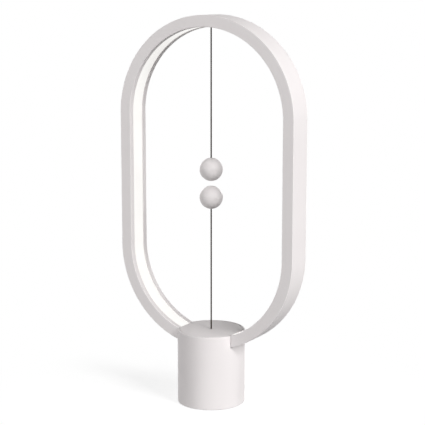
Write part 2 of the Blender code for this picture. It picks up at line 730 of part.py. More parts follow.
def make_ring():
    """Front shell, rear cover, diffuser and light strip, all carried along one route."""
    seam = HALF_DEPTH - SHELL_WALL - GAP
    lip = RING_THICKNESS - LIP_THICKNESS
    front = [
        (0, seam),
        (0, -HALF_DEPTH + RING_EDGE),
        (RING_EDGE, -HALF_DEPTH),
        (RING_THICKNESS - RING_EDGE, -HALF_DEPTH),
        (RING_THICKNESS, -HALF_DEPTH + RING_EDGE),
        (RING_THICKNESS, -WINDOW_HALF),
        (lip, -WINDOW_HALF),
        (lip, -HALF_DEPTH + SHELL_WALL),
        (SHELL_WALL, -HALF_DEPTH + SHELL_WALL),
        (SHELL_WALL, seam),
    ]
    rib = SHELL_WALL + GAP
    floor = HALF_DEPTH - SHELL_WALL
    rear = [
        (0, floor),
        (rib, floor),
        (rib, floor - LOCATING_RIB),
        (rib + LOCATING_RIB, floor - LOCATING_RIB),
        (rib + LOCATING_RIB, floor),
        (lip, floor),
        (lip, WINDOW_HALF),
        (RING_THICKNESS, WINDOW_HALF),
        (RING_THICKNESS, HALF_DEPTH - RING_EDGE),
        (RING_THICKNESS - RING_EDGE, HALF_DEPTH),
        (RING_EDGE, HALF_DEPTH),
        (0, HALF_DEPTH - RING_EDGE),
    ]
    face = WINDOW_HALF - GAP
    shelf = DIFFUSER_BACK + DIFFUSER_BASE_THICKNESS
    diffuser = [
        (STRIP_BACK, DIFFUSER_HALF),
        (STRIP_BACK, DIFFUSER_ROOM_HALF),
        (DIFFUSER_BACK, DIFFUSER_ROOM_HALF),
        (DIFFUSER_BACK, -DIFFUSER_ROOM_HALF),
        (STRIP_BACK, -DIFFUSER_ROOM_HALF),
        (STRIP_BACK, -DIFFUSER_HALF),
        (shelf, -DIFFUSER_HALF),
        (shelf, -face),
        (DIFFUSER_FRONT, -face),
        (DIFFUSER_FRONT, face),
        (shelf, face),
        (shelf, DIFFUSER_HALF),
    ]
    strip = [
        (STRIP_BACK, STRIP_WIDTH / 2),
        (STRIP_BACK, -STRIP_WIDTH / 2),
        (STRIP_FRONT, -STRIP_WIDTH / 2),
        (STRIP_FRONT, STRIP_WIDTH / 2),
    ]
    route = ring_route(LEG_END_REACH)
    shell = along_ring("ring_front_shell", front, route, WHITE_PLASTIC)
    along_ring("ring_rear_cover", rear, route, WHITE_PLASTIC)
    light = along_ring("ring_diffuser", diffuser, route, OPAL)
    cut(light, cylinder("diffuser_cord_hole", CORD_HOLE, RING_TOP - RING_THICKNESS - OVERRUN,
                        RING_TOP - DIFFUSER_BACK + OVERRUN, steps=SCREW_STEPS))
    lights = along_ring("led_strip", strip, ring_route(STRIP_END_REACH), STRIP_WHITE)
    fuse(lights, led_packages())
    return shell


def place_on_ring(distance):
    """Point and direction into the ring, a distance along the outer face from the left side's
    lowest straight point, clockwise seen from the front. It may be less than zero."""
    bend = math.pi * OUTER
    if distance < 0:
        angle = math.pi - distance / OUTER
        centre = LOWER_CENTRE
    elif distance < RING_STRAIGHT_LENGTH:
        return Vector((-OUTER, 0, LOWER_CENTRE + distance)), Vector((1, 0, 0))
    elif distance < RING_STRAIGHT_LENGTH + bend:
        angle = math.pi - (distance - RING_STRAIGHT_LENGTH) / OUTER
        centre = UPPER_CENTRE
    elif distance < 2 * RING_STRAIGHT_LENGTH + bend:
        drop = distance - RING_STRAIGHT_LENGTH - bend
        return Vector((OUTER, 0, UPPER_CENTRE - drop)), Vector((-1, 0, 0))
    else:
        angle = -(distance - 2 * RING_STRAIGHT_LENGTH - bend) / OUTER
        centre = LOWER_CENTRE
    out = Vector((math.cos(angle), 0, math.sin(angle)))
    return Vector((0, 0, centre)) + out * OUTER, -out


def led_packages():
    """The row of light packages, evenly spaced from one end of the strip to the other."""
    leg = OUTER * math.radians(90 - reach_angle(STRIP_END_REACH))
    length = 2 * leg + 2 * RING_STRAIGHT_LENGTH + math.pi * OUTER
    shape = bmesh.new()
    height = LED_HEIGHT + LED_ROOT
    depth = STRIP_FRONT - LED_ROOT + height / 2
    for index in range(LED_COUNT):
        place, inward = place_on_ring(length * (index + 0.5) / LED_COUNT - leg)
        side = inward.cross(Vector((0, 1, 0)))
        turn_to = Matrix((inward, Vector((0, 1, 0)), side)).transposed().to_4x4()
        size = Matrix.Diagonal((height, LED_WIDTH, LED_LENGTH, 1))
        move = Matrix.Translation(place + inward * depth)
        bmesh.ops.create_cube(shape, size=1, matrix=move @ turn_to @ size)
    return add("led_packages", finished_mesh("led_packages", shape), None)


def make_legs(shell):
    """Solid plugs in the two leg ends, each drawn down on the saddle by a screw from below."""
    half = DIFFUSER_ROOM_HALF - GAP
    back = SHELL_WALL + GAP
    front = DIFFUSER_BACK - GAP
    section = [(back, half), (back, -half), (front, -half), (front, half)]
    inner, outer = reach_angle(LEG_END_REACH), reach_angle(PLUG_REACH)
    routes = {
        "left": (-1, arc(OUTER, LOWER_CENTRE, 270 - inner, 270 - outer)),
        "right": (1, arc(OUTER, LOWER_CENTRE, outer - 90, inner - 90)),
    }
    head = SADDLE_BOTTOM - GAP
    length = outer_height(LEG_SCREW_REACH) + front - LEG_SCREW_TIP_ROOM - head
    wall_top = outer_height(LEG_SCREW_REACH + SCREW_HOLE) + SHELL_WALL
    for side, (sign, route) in routes.items():
        place = (sign * LEG_SCREW_REACH, 0)
        plug = along_ring(f"leg_plug_{side}", section, route, NATURAL_PLASTIC)
        cut(plug, cylinder(f"plug_hole_{side}", SCREW_HOLE, head, head + length + GAP,
                           place, steps=SCREW_STEPS))
        cut(shell, cylinder(f"shell_hole_{side}", SCREW_HOLE, head, wall_top + OVERRUN, place,
                            steps=SCREW_STEPS))
        screw(f"leg_screw_{side}", length, (*place, head), up=True)


def make_saddle(room):
    """The plate on the four columns, with a curved cradle under each leg of the ring."""
    saddle = cylinder("ring_saddle", BORE_RADIUS - GAP, SADDLE_BOTTOM, SADDLE_TOP,
                      material=NATURAL_PLASTIC, steps=HOUSING_STEPS)
    root = SADDLE_TOP - SADDLE_ROOT
    crest = outer_height(SADDLE_OUTER_REACH) + OVERRUN
    for side, sign in (("left", -1), ("right", 1)):
        middle = sign * (LEG_END_REACH + SADDLE_OUTER_REACH) / 2
        size = (SADDLE_OUTER_REACH - LEG_END_REACH, 2 * SADDLE_HALF_WIDTH, crest - root)
        fuse(saddle, box(f"cradle_{side}", size, (middle, 0, (root + crest) / 2)))
    cut(saddle, room)
    top, bottom = crest + OVERRUN, SADDLE_BOTTOM - OVERRUN
    for index, place in enumerate(column_places(), 1):
        cut(saddle, cylinder(f"saddle_hole_{index}", SCREW_HOLE, bottom, top, place,
                             steps=SCREW_STEPS))
        screw(f"saddle_screw_{index}", HOUSING_SCREW_LENGTH, (*place, SADDLE_TOP + GAP))
    for sign in (-1, 1):
        label = "left" if sign < 0 else "right"
        cut(saddle, cylinder(f"leg_hole_{label}", SCREW_HOLE, bottom, top,
                             (sign * LEG_SCREW_REACH, 0), steps=SCREW_STEPS))
    cut(saddle, cylinder("switch_hole", SWITCH_RADIUS + GAP, bottom, top))
    for place in switch_screw_places():
        label = "front" if place[1] < 0 else "back"
        cut(saddle, cylinder(f"switch_thread_{label}", SCREW_HOLE, bottom, top, place,
                             steps=SCREW_STEPS))
    cut(saddle, cylinder("lead_notch", LEAD_RADIUS + LEAD_HOLE_ROOM, bottom, top,
                         (-LEAD_REACH, 0), steps=SCREW_STEPS))


def switch_screw_places():
    return ((0, -SWITCH_SCREW_REACH), (0, SWITCH_SCREW_REACH))


def make_switch():
    """The pull switch: a body on the saddle, an end cap, a slider and its return spring."""
    body = cylinder("switch_body", SWITCH_RADIUS, SWITCH_BOTTOM, SWITCH_TOP,
                    material=BLACK_PLASTIC, steps=SMALL_STEPS)
    flange_bottom = SADDLE_TOP + GAP
    flange_top = flange_bottom + SWITCH_FLANGE_THICKNESS
    size = (SWITCH_FLANGE_WIDTH, SWITCH_FLANGE_LENGTH, SWITCH_FLANGE_THICKNESS)
    fuse(body, box("switch_flange", size, (0, 0, (flange_bottom + flange_top) / 2)))
    bore_top = SWITCH_TOP - SWITCH_TOP_WALL
    cut(
        body,
        cylinder("switch_bore", SWITCH_BORE, SWITCH_BOTTOM - OVERRUN, bore_top),
        cylinder("switch_cord_hole", CORD_HOLE, bore_top - OVERRUN, SWITCH_TOP + OVERRUN,
                 steps=SCREW_STEPS),
    )
    for place in switch_screw_places():
        label = "front" if place[1] < 0 else "back"
        cut(body, cylinder(f"flange_hole_{label}", SCREW_HOLE, flange_bottom - OVERRUN,
                           flange_top + OVERRUN, place, steps=SCREW_STEPS))
        screw(f"switch_screw_{label}", SWITCH_SCREW_LENGTH, (*place, flange_top + GAP))

    stem_hole = SLIDER_STEM_RADIUS + GAP
    cap = [
        (stem_hole, END_CAP_TOP + END_CAP_SPIGOT),
        (SWITCH_BORE - GAP, END_CAP_TOP + END_CAP_SPIGOT),
        (SWITCH_BORE - GAP, END_CAP_TOP),
        (SWITCH_RADIUS, END_CAP_TOP),
        (SWITCH_RADIUS, END_CAP_TOP - END_CAP_THICKNESS),
        (stem_hole, END_CAP_TOP - END_CAP_THICKNESS),
    ]
    turned("switch_end_cap", cap, BLACK_PLASTIC, loop=True)

    pocket = FERRULE_RADIUS + GAP
    pocket_top = SLIDER_BOTTOM + FERRULE_LENGTH + 2 * GAP
    slider = [
        (CORD_HOLE, SLIDER_HEAD_TOP),
        (SWITCH_BORE - GAP, SLIDER_HEAD_TOP),
        (SWITCH_BORE - GAP, SLIDER_HEAD_BOTTOM),
        (SLIDER_STEM_RADIUS, SLIDER_HEAD_BOTTOM),
        (SLIDER_STEM_RADIUS, SLIDER_BOTTOM),
        (pocket, SLIDER_BOTTOM),
        (pocket, pocket_top),
        (CORD_HOLE, pocket_top),
    ]
    made = turned("switch_slider", slider, NATURAL_PLASTIC, loop=True)
    ferrule = make_ferrule("slider_ferrule", pocket_top - GAP)

    low = SLIDER_HEAD_TOP + GAP + SPRING_WIRE_RADIUS
    high = bore_top - GAP - SPRING_WIRE_RADIUS
    coil_radius = (SWITCH_BORE + CORD_HOLE) / 2
    steps = round(SPRING_TURNS * SPRING_POINTS_PER_TURN)
    coil = []
    for index in range(steps + 1):
        angle = 2 * math.pi * index / SPRING_POINTS_PER_TURN
        height = low + (high - low) * index / steps
        coil.append((coil_radius * math.cos(angle), coil_radius * math.sin(angle), height))
    tube("switch_spring", coil, SPRING_WIRE_RADIUS, STEEL, resolution=1)
    return made, ferrule


def make_ferrule(name, mouth, down=True, length=FERRULE_LENGTH):
    """A crimped sleeve on a cord's end. Its mouth faces up, or down if it hangs from above."""
    depth = length - FERRULE_END
    profile = [
        (0, -depth),
        (CORD_HOLE, -depth),
        (CORD_HOLE, 0),
        (FERRULE_RADIUS, 0),
        (FERRULE_RADIUS, -length),
        (0, -length),
    ]
    made = turned(name, profile, STEEL, (0, 0, mouth))
    if not down:
        made.rotation_euler = (math.radians(180), 0, 0)
    return made


def post_places():
    side = FRONT_POST_SIDE_REACH
    return ((-side, -FRONT_POST_REACH), (side, -FRONT_POST_REACH), (0, REAR_POST_REACH))


def make_board():
    """The control board on three posts, with the parts that stand on it."""
    rear = SOCKET_FACE - BOARD_EDGE_ROOM
    size = (BOARD_WIDTH, rear + BOARD_FRONT_REACH, BOARD_THICKNESS)
    centre = (0, (rear - BOARD_FRONT_REACH) / 2, (BOARD_TOP + BOARD_BOTTOM) / 2)
    board = box("control_board", size, centre, BOARD_GREEN)
    post_top = BOARD_BOTTOM - GAP
    post_bottom = post_top - POST_HEIGHT
    thread_bottom = post_top - BOARD_SCREW_LENGTH
    profile = [
        (0, thread_bottom),
        (SCREW_HOLE, thread_bottom),
        (SCREW_HOLE, post_top),
        (POST_RADIUS, post_top),
        (POST_RADIUS, post_bottom),
        (POST_STUD_RADIUS, post_bottom),
        (POST_STUD_RADIUS, post_bottom - POST_STUD_LENGTH),
        (0, post_bottom - POST_STUD_LENGTH),
    ]
    for index, place in enumerate(post_places(), 1):
        turned(f"board_post_{index}", profile, BRASS, (*place, 0), steps=POST_SIDES)
        cut(board, cylinder(f"board_hole_{index}", SCREW_HOLE, BOARD_BOTTOM - OVERRUN,
                            BOARD_TOP + OVERRUN, place, steps=SCREW_STEPS))
        screw(f"board_screw_{index}", BOARD_SCREW_LENGTH, (*place, BOARD_TOP + GAP))

    seat = BOARD_TOP + GAP
    key = box("switch_key", (KEY_WIDTH, KEY_WIDTH, KEY_HEIGHT), (0, 0, seat + KEY_HEIGHT / 2),
              BLACK_PLASTIC)
    fuse(key, cylinder("key_button", KEY_BUTTON_RADIUS, seat + KEY_HEIGHT / 2, KEY_TOP))
    chip_x = (KEY_WIDTH + CHIP_WIDTH) / 2 + CHIP_KEY_ROOM
    chip_y = BOARD_FRONT_REACH - CHIP_EDGE_ROOM - CHIP_WIDTH / 2
    box("driver_chip", (CHIP_WIDTH, CHIP_WIDTH, CHIP_HEIGHT), (chip_x, -chip_y, seat + CHIP_HEIGHT / 2),
        BLACK_PLASTIC)
    can_x = KEY_WIDTH / 2 + CAPACITOR_KEY_ROOM + CAPACITOR_RADIUS
    can_y = BOARD_FRONT_REACH - CAPACITOR_EDGE_ROOM - CAPACITOR_RADIUS
    cylinder("smoothing_capacitor", CAPACITOR_RADIUS, seat, seat + CAPACITOR_HEIGHT,
             (-can_x, -can_y), STEEL)


def oval_bar(name, width, height, length, face, material=None):
    """A flat bar with half round sides that runs forward, -Y, from its face."""
    radius = height / 2
    half = width / 2 - radius
    right = [(half + r, z) for r, z in arc(radius, 0, -90, 90, 90 / ROUND_POINTS)]
    left = [(-half + r, z) for r, z in arc(radius, 0, 90, 270, 90 / ROUND_POINTS)]
    curve = line_curve(name, right + left, True)
    curve.fill_mode = "BOTH"
    curve.extrude = length / 2
    if material:
        curve.materials.append(material)
    made = bpy.data.objects.new(name, curve)
    made.rotation_euler = (math.radians(90), 0, 0)
    made.location = (0, face - length / 2, SOCKET_CENTRE)
    PARTS.objects.link(made)
    return solid_from_curve(made)


def make_socket():
    """The power socket: an oval metal shell with a flat tongue inside."""
    socket = oval_bar("inlet_socket", SOCKET_WIDTH, SOCKET_HEIGHT, SOCKET_LENGTH, SOCKET_FACE, STEEL)
    mouth = oval_bar("socket_mouth", SOCKET_WIDTH - 2 * SOCKET_WALL, SOCKET_HEIGHT - 2 * SOCKET_WALL,
                     SOCKET_MOUTH_DEPTH + OVERRUN, SOCKET_FACE + OVERRUN)
    back = SOCKET_FACE - SOCKET_MOUTH_DEPTH - OVERRUN / 2
    front = SOCKET_FACE - TONGUE_SETBACK
    tongue = box("socket_tongue", (TONGUE_WIDTH, front - back, TONGUE_THICKNESS),
                 (0, (front + back) / 2, SOCKET_CENTRE))
    cut(socket, mouth)
    fuse(socket, tongue)


def make_lead(shell):
    """The lead from the board, up through the saddle and the left leg, to the light strip."""
    strip_radius = OUTER - STRIP_BACK
    near = LEAD_REACH - LEAD_RADIUS
    lead_top = LOWER_CENTRE - math.sqrt(strip_radius**2 - near**2) - GAP
    side, depth = LEAD_BOARD_SIDE_REACH, LEAD_BOARD_REAR_REACH
    foot = BOARD_TOP + GAP
    points = [(-LEAD_REACH, 0, lead_top), (-LEAD_REACH, 0, SADDLE_BOTTOM)]
    for out, across, up in LEAD_DROP_SHARES:
        x = -side - (LEAD_REACH - side) * out
        points.append((x, depth * across, foot + (SADDLE_BOTTOM - foot) * up))
    points += [(-side, depth, foot + 3 * LEAD_RADIUS), (-side, depth, foot)]
    tube("led_lead", smooth_line(points, 3), LEAD_RADIUS, RUBBER, resolution=1)
    hole = LEAD_RADIUS + LEAD_HOLE_ROOM
    cut(shell, cylinder("shell_lead_hole", hole, outer_height(near) - OVERRUN,
                        outer_height(LEAD_REACH + hole) + SHELL_WALL + OVERRUN,
                        (-LEAD_REACH, 0), steps=SCREW_STEPS))


def smooth_line(points, steps):
    """A smooth curve through the points, with this many stretches between each two."""
    places = [Vector(p) for p in points]
    ends = [places[0] * 2 - places[1]] + places + [places[-1] * 2 - places[-2]]
    line = []
    for a, b, c, d in zip(ends, ends[1:], ends[2:], ends[3:]):
        for index in range(steps):
            t = index / steps
            line.append(
                (b * 2 + (c - a) * t + (a * 2 - b * 5 + c * 4 - d) * t**2
                 + (b * 3 - a - c * 3 + d) * t**3) / 2
            )
    return line + [places[-1]]


def make_anchor():
    """What holds the upper cord in the top of the ring: a plate on the diffuser and a ferrule."""
    bottom = RING_TOP - DIFFUSER_BACK + GAP
    top = bottom + ANCHOR_THICKNESS
    width = 2 * (DIFFUSER_ROOM_HALF - GAP)
    plate = box("cord_anchor_plate", (ANCHOR_LENGTH, width, ANCHOR_THICKNESS),
                (0, 0, (bottom + top) / 2), NATURAL_PLASTIC)
    cut(plate, cylinder("anchor_hole", CORD_HOLE, bottom - OVERRUN, top + OVERRUN,
                        steps=SCREW_STEPS))
    length = RING_TOP - STRIP_FRONT - ANCHOR_STRIP_ROOM - top - GAP
    make_ferrule("anchor_ferrule", top + GAP, down=False, length=length)
    return top + length - FERRULE_END


def straight(start, end):
    """Heights from start to end, with a point about every CORD_SPACING."""
    count = max(1, round(abs(end - start) / CORD_SPACING))
    return [start + (end - start) * i / count for i in range(count + 1)]


def cord(name, start, end, pivot_end=None):
    """An upright cord between two heights. The end at pivot_end is a half ball about it."""
    points, shares = [], []
    direction = 1 if end > start else -1
    if pivot_end is not None:
        for angle in (80, 60, 35, 15):
            points.append((0, 0, pivot_end - direction * CORD_RADIUS * math.sin(math.radians(angle))))
            shares.append(math.cos(math.radians(angle)))
    for height in straight(start, end):
        points.append((0, 0, height))
        shares.append(1)
    return tube(name, points, CORD_RADIUS, CORD, shares=shares)


def ball(name, height, magnet_up):
    """A hollow ball in two halves: one takes the magnet, the other the end of the cord."""
    radius = BALL_RADIUS
    inside = radius - BALL_WALL
    half_gap = GAP / 2
    pocket = MAGNET_RADIUS + GAP
    floor = MAGNET_SKIN - math.sqrt(radius**2 - pocket**2)
    rim_radius = pocket + MAGNET_RIM
    rim_top = floor + MAGNET_THICKNESS + GAP
    collar_outer = math.sqrt(inside**2 - BALL_COLLAR_HEIGHT**2) - GAP
    collar_inner = collar_outer - BALL_COLLAR_WALL

    def on_ball(size, start, end):
        return arc(size, 0, start, end, BALL_ARC_STEP)

    def polar(size, out):
        return -math.degrees(math.acos(out / size))

    magnet_half = [
        (0, floor),
        (pocket, floor),
        (pocket, rim_top),
        (rim_radius, rim_top),
        *on_ball(inside, polar(inside, rim_radius), polar(inside, collar_inner)),
        (collar_inner, BALL_COLLAR_HEIGHT),
        (collar_outer, BALL_COLLAR_HEIGHT),
        (collar_outer, -half_gap),
        (radius, -half_gap),
        *on_ball(radius, -BALL_ARC_STEP, -90)[:-1],
        (0, -radius),
    ]
    hole_angle = -polar(radius, CORD_HOLE)
    pad_angle = -polar(inside, BALL_PAD_RADIUS)
    cord_half = [
        *on_ball(radius, hole_angle, BALL_ARC_STEP),
        (radius, half_gap),
        (inside, half_gap),
        *on_ball(inside, BALL_ARC_STEP, pad_angle),
        (BALL_PAD_RADIUS, BALL_PAD),
        (CORD_HOLE, BALL_PAD),
    ]
    magnet = [
        (0, floor + GAP + MAGNET_THICKNESS),
        (MAGNET_RADIUS - MAGNET_EDGE, floor + GAP + MAGNET_THICKNESS),
        (MAGNET_RADIUS, floor + GAP + MAGNET_THICKNESS - MAGNET_EDGE),
        (MAGNET_RADIUS, floor + GAP + MAGNET_EDGE),
        (MAGNET_RADIUS - MAGNET_EDGE, floor + GAP),
        (0, floor + GAP),
    ]
    at = (0, 0, height)
    sign = -1 if magnet_up else 1
    ferrule_mouth = height + sign * BALL_FERRULE_TOP
    pieces = [
        turned(f"{name}_magnet_half", magnet_half, WHITE_PLASTIC, at, BALL_STEPS),
        turned(f"{name}_cord_half", cord_half, WHITE_PLASTIC, at, BALL_STEPS, True),
        turned(f"{name}_magnet", magnet, MAGNET, at, BALL_STEPS),
    ]
    if magnet_up:
        for piece in pieces:
            piece.rotation_euler = (math.radians(180), 0, 0)
    pieces.append(make_ferrule(f"{name}_ferrule", ferrule_mouth, down=not magnet_up))
    return pieces


def make_cords_and_balls(anchor_end, slider, slider_ferrule):
    """The two pendulums. Each cord turns about two points near its end, side to side at the
    first and fore and aft at the second, as a chain of short stiff stretches would."""
    ferrule_depth = FERRULE_LENGTH - FERRULE_END - GAP
    upper_end = UPPER_BALL + BALL_FERRULE_TOP - ferrule_depth
    lower_end = LOWER_BALL - BALL_FERRULE_TOP + ferrule_depth
    slider_end = SLIDER_BOTTOM + 2 * GAP + FERRULE_END

    cord("upper_cord_stub", anchor_end, UPPER_STUB_END)
    upper_link = cord("upper_cord_link", UPPER_SIDE_PIVOT, UPPER_SIDE_PIVOT - CORD_LINK,
                      UPPER_SIDE_PIVOT)
    upper_cord = cord("upper_cord", UPPER_FORE_PIVOT, upper_end, UPPER_FORE_PIVOT)
    lower_stub = cord("lower_cord_stub", slider_end, LOWER_STUB_END)
    lower_link = cord("lower_cord_link", LOWER_SIDE_PIVOT, LOWER_SIDE_PIVOT + CORD_LINK,
                      LOWER_SIDE_PIVOT)
    lower_cord = cord("lower_cord", LOWER_FORE_PIVOT, lower_end, LOWER_FORE_PIVOT)

    carry(joint_empty("upper_side_pivot", UPPER_SIDE_PIVOT), upper_link)
    carry(joint_empty("upper_fore_pivot", UPPER_FORE_PIVOT), upper_cord,
          *ball("upper_ball", UPPER_BALL, magnet_up=False))
    carry(joint_empty("switch_axis", SLIDER_BOTTOM), slider, slider_ferrule, lower_stub)
    carry(joint_empty("lower_side_pivot", LOWER_SIDE_PIVOT), lower_link)
    carry(joint_empty("lower_fore_pivot", LOWER_FORE_PIVOT), lower_cord,
          *ball("lower_ball", LOWER_BALL, magnet_up=True))


base = make_housing()
make_port(base)
room_for_ring = ring_room()
cut(base, room_for_ring)
make_cap()
make_eyelet()
make_bottom()
front_shell = make_ring()
make_legs(front_shell)
make_saddle(room_for_ring)
switch_parts = make_switch()
make_board()
make_socket()
make_lead(front_shell)
make_cords_and_balls(make_anchor(), *switch_parts)
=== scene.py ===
"""Looks of the magnetic balance lamp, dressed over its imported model.

Units are metres and +Z is up. The ring stands in the XZ plane, its front looks along -Y and the
power inlet is at the back. Each new piece is a surface worked out as whole arrays, in the place
of the node that it stands for.
"""
import math

import bmesh
import bpy
import numpy as np
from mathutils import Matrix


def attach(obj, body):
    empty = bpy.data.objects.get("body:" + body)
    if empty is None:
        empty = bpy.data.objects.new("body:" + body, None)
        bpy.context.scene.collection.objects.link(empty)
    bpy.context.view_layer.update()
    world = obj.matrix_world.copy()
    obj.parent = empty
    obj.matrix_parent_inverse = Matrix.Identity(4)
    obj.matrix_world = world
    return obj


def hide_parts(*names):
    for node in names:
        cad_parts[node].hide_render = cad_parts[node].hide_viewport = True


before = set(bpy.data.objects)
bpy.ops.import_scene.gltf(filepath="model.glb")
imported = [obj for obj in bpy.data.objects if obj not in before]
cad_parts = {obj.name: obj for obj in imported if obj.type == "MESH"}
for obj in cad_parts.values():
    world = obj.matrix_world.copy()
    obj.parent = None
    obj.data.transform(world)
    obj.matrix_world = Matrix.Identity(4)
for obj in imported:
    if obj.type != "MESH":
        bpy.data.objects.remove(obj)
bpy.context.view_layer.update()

# Base wall
BASE_RADIUS = 0.0349
BORE_RADIUS = 0.0329
BASE_WALL = BASE_RADIUS - BORE_RADIUS
BASE_BOTTOM = 0.0005
BASE_TOP = 0.0774
BASE_EDGE = 0.0006
BASE_EDGE_POINTS = 5
RIM_EDGE = 0.00025
RIM_EDGE_POINTS = 3
EDGE_SUPPORT = 0.0002
BASE_LOW_ROWS = (0.0014, 0.010, 0.020)
BASE_HIGH_ROW = 0.050
SIDE_STEPS = 20
FRONT_STEPS = 60

# Notches in the base wall, one for each leg of the ring
NOTCH_HALF = 0.0148
NOTCH_OUTER = 0.1014
NOTCH_INNER = 0.0890
NOTCH_SHELF = 0.0560
NOTCH_OUT = math.asin(NOTCH_HALF / BASE_RADIUS)
NOTCH_IN = math.asin(NOTCH_HALF / BORE_RADIUS)

# Disc on the base: its softened edge is a list of (drop, inset) from the top face
CAP_RADIUS = 0.0326
CAP_BOTTOM = 0.0754
CAP_SIDE_ROW = 0.0768
CAP_EDGE = ((0, 0.0002), (0.00003, 0.0001), (0.0001, 0.00003), (0.0002, 0))
CAP_BORE = 0.0019
CAP_SEAT = 0.0024
CAP_SEAT_FLOOR = 0.0764
CAP_SEAT_EDGE = 0.0001
CAP_TOP_SHARES = (0.3, 0.65, 0.97)
CAP_UNDER_SHARES = (0.6, 0.2)
CAP_LEG_STEPS = 12
CAP_REST_STEPS = 36

# Bush in the disc
BUSH_FLANGE = 0.0021
BUSH_BODY = 0.0016
BUSH_BORE = 0.0010
BUSH_STEP = 0.0767
BUSH_BOTTOM = 0.0744
BUSH_FLARE = 0.0004
BUSH_LIP = 0.00025
BUSH_COLUMNS = 40

# Power port in the back of the base
PORT_TURN = math.pi / 2
PORT_HEIGHT = 0.03455
PORT_HALF = (0.00575, 0.00325)
PORT_CORNER = 0.0014
PORT_RIM = 0.0004
PORT_FRONT = 0.0302
SLEEVE_WALL = 0.0015
PORT_FIELD_ANGLE = math.radians(16)
PORT_FIELD_HALF = 0.0070
PORT_COLUMNS = 32
PORT_ROWS = 10
PORT_OUTER_SHARES = (0, 0.35, 0.7, 0.9, 1)
PORT_INNER_SHARES = (1, 0.5, 0)

# Power socket in the port: the tongue's tip is a list of (inset, distance behind its face)
SOCKET_HALF = (0.0045, 0.00165)
SOCKET_CORNER = 0.00164
SOCKET_FACE = 0.0299
SOCKET_BACK = 0.0224
SOCKET_FLOOR = 0.0239
SOCKET_WALL = 0.00035
SOCKET_COLUMNS = 16
SOCKET_ROWS = 8
SOCKET_ROLL_POINTS = 7
TONGUE_HALF = (0.00335, 0.00035)
TONGUE_CORNER = 0.0002
TONGUE_FACE = 0.0293
TONGUE_TIP = ((0, 0.0003), (0.00006, 0.0001), (0.00014, 0))

# Ring
RING_OUTER = 0.1011
RING_DEEP = 0.0118
RING_HALF = 0.0145
LOWER_CENTRE = 0.1609
UPPER_CENTRE = 0.2989
LEG_END_REACH = 0.0145
SHELL_WALL = 0.0018
LIP_BACK = 0.0102
LIP_EDGE = 0.0084
LIP_OUTER_ROUND = 0.00045
LIP_INNER_ROUND = 0.00030
FINE_ROUND = 0.00012
SEAM_FRONT = 0.0124
SEAM_BACK = 0.0127
SEAM_WIDTH = 0.00012
DIFFUSER_FACE = 0.0112
DIFFUSER_SHELF = 0.0099
DIFFUSER_BACK = 0.0084
DIFFUSER_FOOT = 0.0021
DIFFUSER_HALF = 0.0112
DIFFUSER_ROOM = 0.0102
DIFFUSER_GAP = 0.00003
DIFFUSER_ROUND = 0.00008
ARC_STEP = math.radians(1.5)

# Balls
BALL_RADIUS = 0.01185
BALL_WALL = 0.0015
BALL_SEAM = 0.00004
BALL_SEAM_EDGE = 0.00006
BALL_HOLE = 0.0010
HOLE_LIP = 0.0002
HOLE_LIP_SOFT = 0.00005
HOLE_LIP_DEPTH = 0.0003
COLLAR_RADIUS = 0.0032
COLLAR_DEPTH = 0.001
UPPER_BALL = 0.24465
LOWER_BALL = 0.21585
BALL_COLUMNS = 72
CORD_HALF_POINTS = 40
MAGNET_HALF_POINTS = 44
BALL_INSIDE_POINTS = 16

# Cords
CORD_DIAMETER = 0.0014
CORD_RADIUS = CORD_DIAMETER / 2
CORD_RELIEF = 0.0001
CORD_STRANDS = 6
CORD_TWIST = 0.0021
WEAVE_MIDDLE = 0.55
WEAVE_DIP = 0.25
STRAND_COLUMNS = 4
CORD_ROW = 0.00018
CORD_BALL_ROWS = 8
UPPER_ANCHOR = 0.3955
UPPER_SIDE_PIVOT = 0.3862
UPPER_FORE_PIVOT = 0.3822
UPPER_CORD_END = 0.25165
LOWER_ANCHOR = 0.0413
LOWER_SIDE_PIVOT = 0.0819
LOWER_FORE_PIVOT = 0.0859
LOWER_CORD_END = 0.20895

# Bottom cover
COVER_TOP = 0.0035
COVER_EDGE = 0.0002
COUNTERBORE_RADIUS = 0.0023
COUNTERBORE_FLOOR = 0.0024
COLUMN_CIRCLE = 0.0296
SCREW_ANGLES = np.radians([45, 135, 225, 315])
SCREW_PLACES = COLUMN_CIRCLE * np.stack([np.cos(SCREW_ANGLES), np.sin(SCREW_ANGLES)], -1)
SCREW_FIELD_ANGLE = math.radians(5.4)
SCREW_FIELD = (0.0268, 0.0324)
FIELD_STEPS = 8
PLATE_STEPS = 32

# Screws
SCREW_SEAT = 0.0021
COVER_SCREW_LENGTH = 0.0119
BALLAST_SCREW_LENGTH = 0.0089
HEAD_RADIUS = 0.0020
HEAD_HEIGHT = 0.0016
HEAD_ROUND = 0.0003
HEAD_BEVEL = 0.0001
RECESS_HALF = 0.00078
RECESS_DEPTH = 0.0008
RECESS_EDGE = 0.00008
CORE_RADIUS = 0.0009
THREAD_DEPTH = 0.0002
THREAD_PITCH = 0.0006
THREAD_ROW = 0.0001
POINT_TAPER = 8
POINT_BLUNT = 0.1
SCREW_COLUMNS = 48

# Rubber foot
FOOT_RADII = (0.0161, 0.0261)
FOOT_TOP = 0.0016
FOOT_ROOM = 0.0003
FOOT_EDGE = 0.0003
FOOT_BEVEL = 0.0001
FOOT_RIBS = 8
RIB_DEPTH = 0.00015
RIB_STEPS = 8
FOOT_COLUMNS = 96

# Meshes: when two points are one, when an edge is sharp, and the points of a small bend
MERGE = 0.000001
EDGE_ANGLE = math.radians(38)
NO_EDGES = math.pi
FLAT_SUPPORT = 1.5
BEND_POINTS = 4

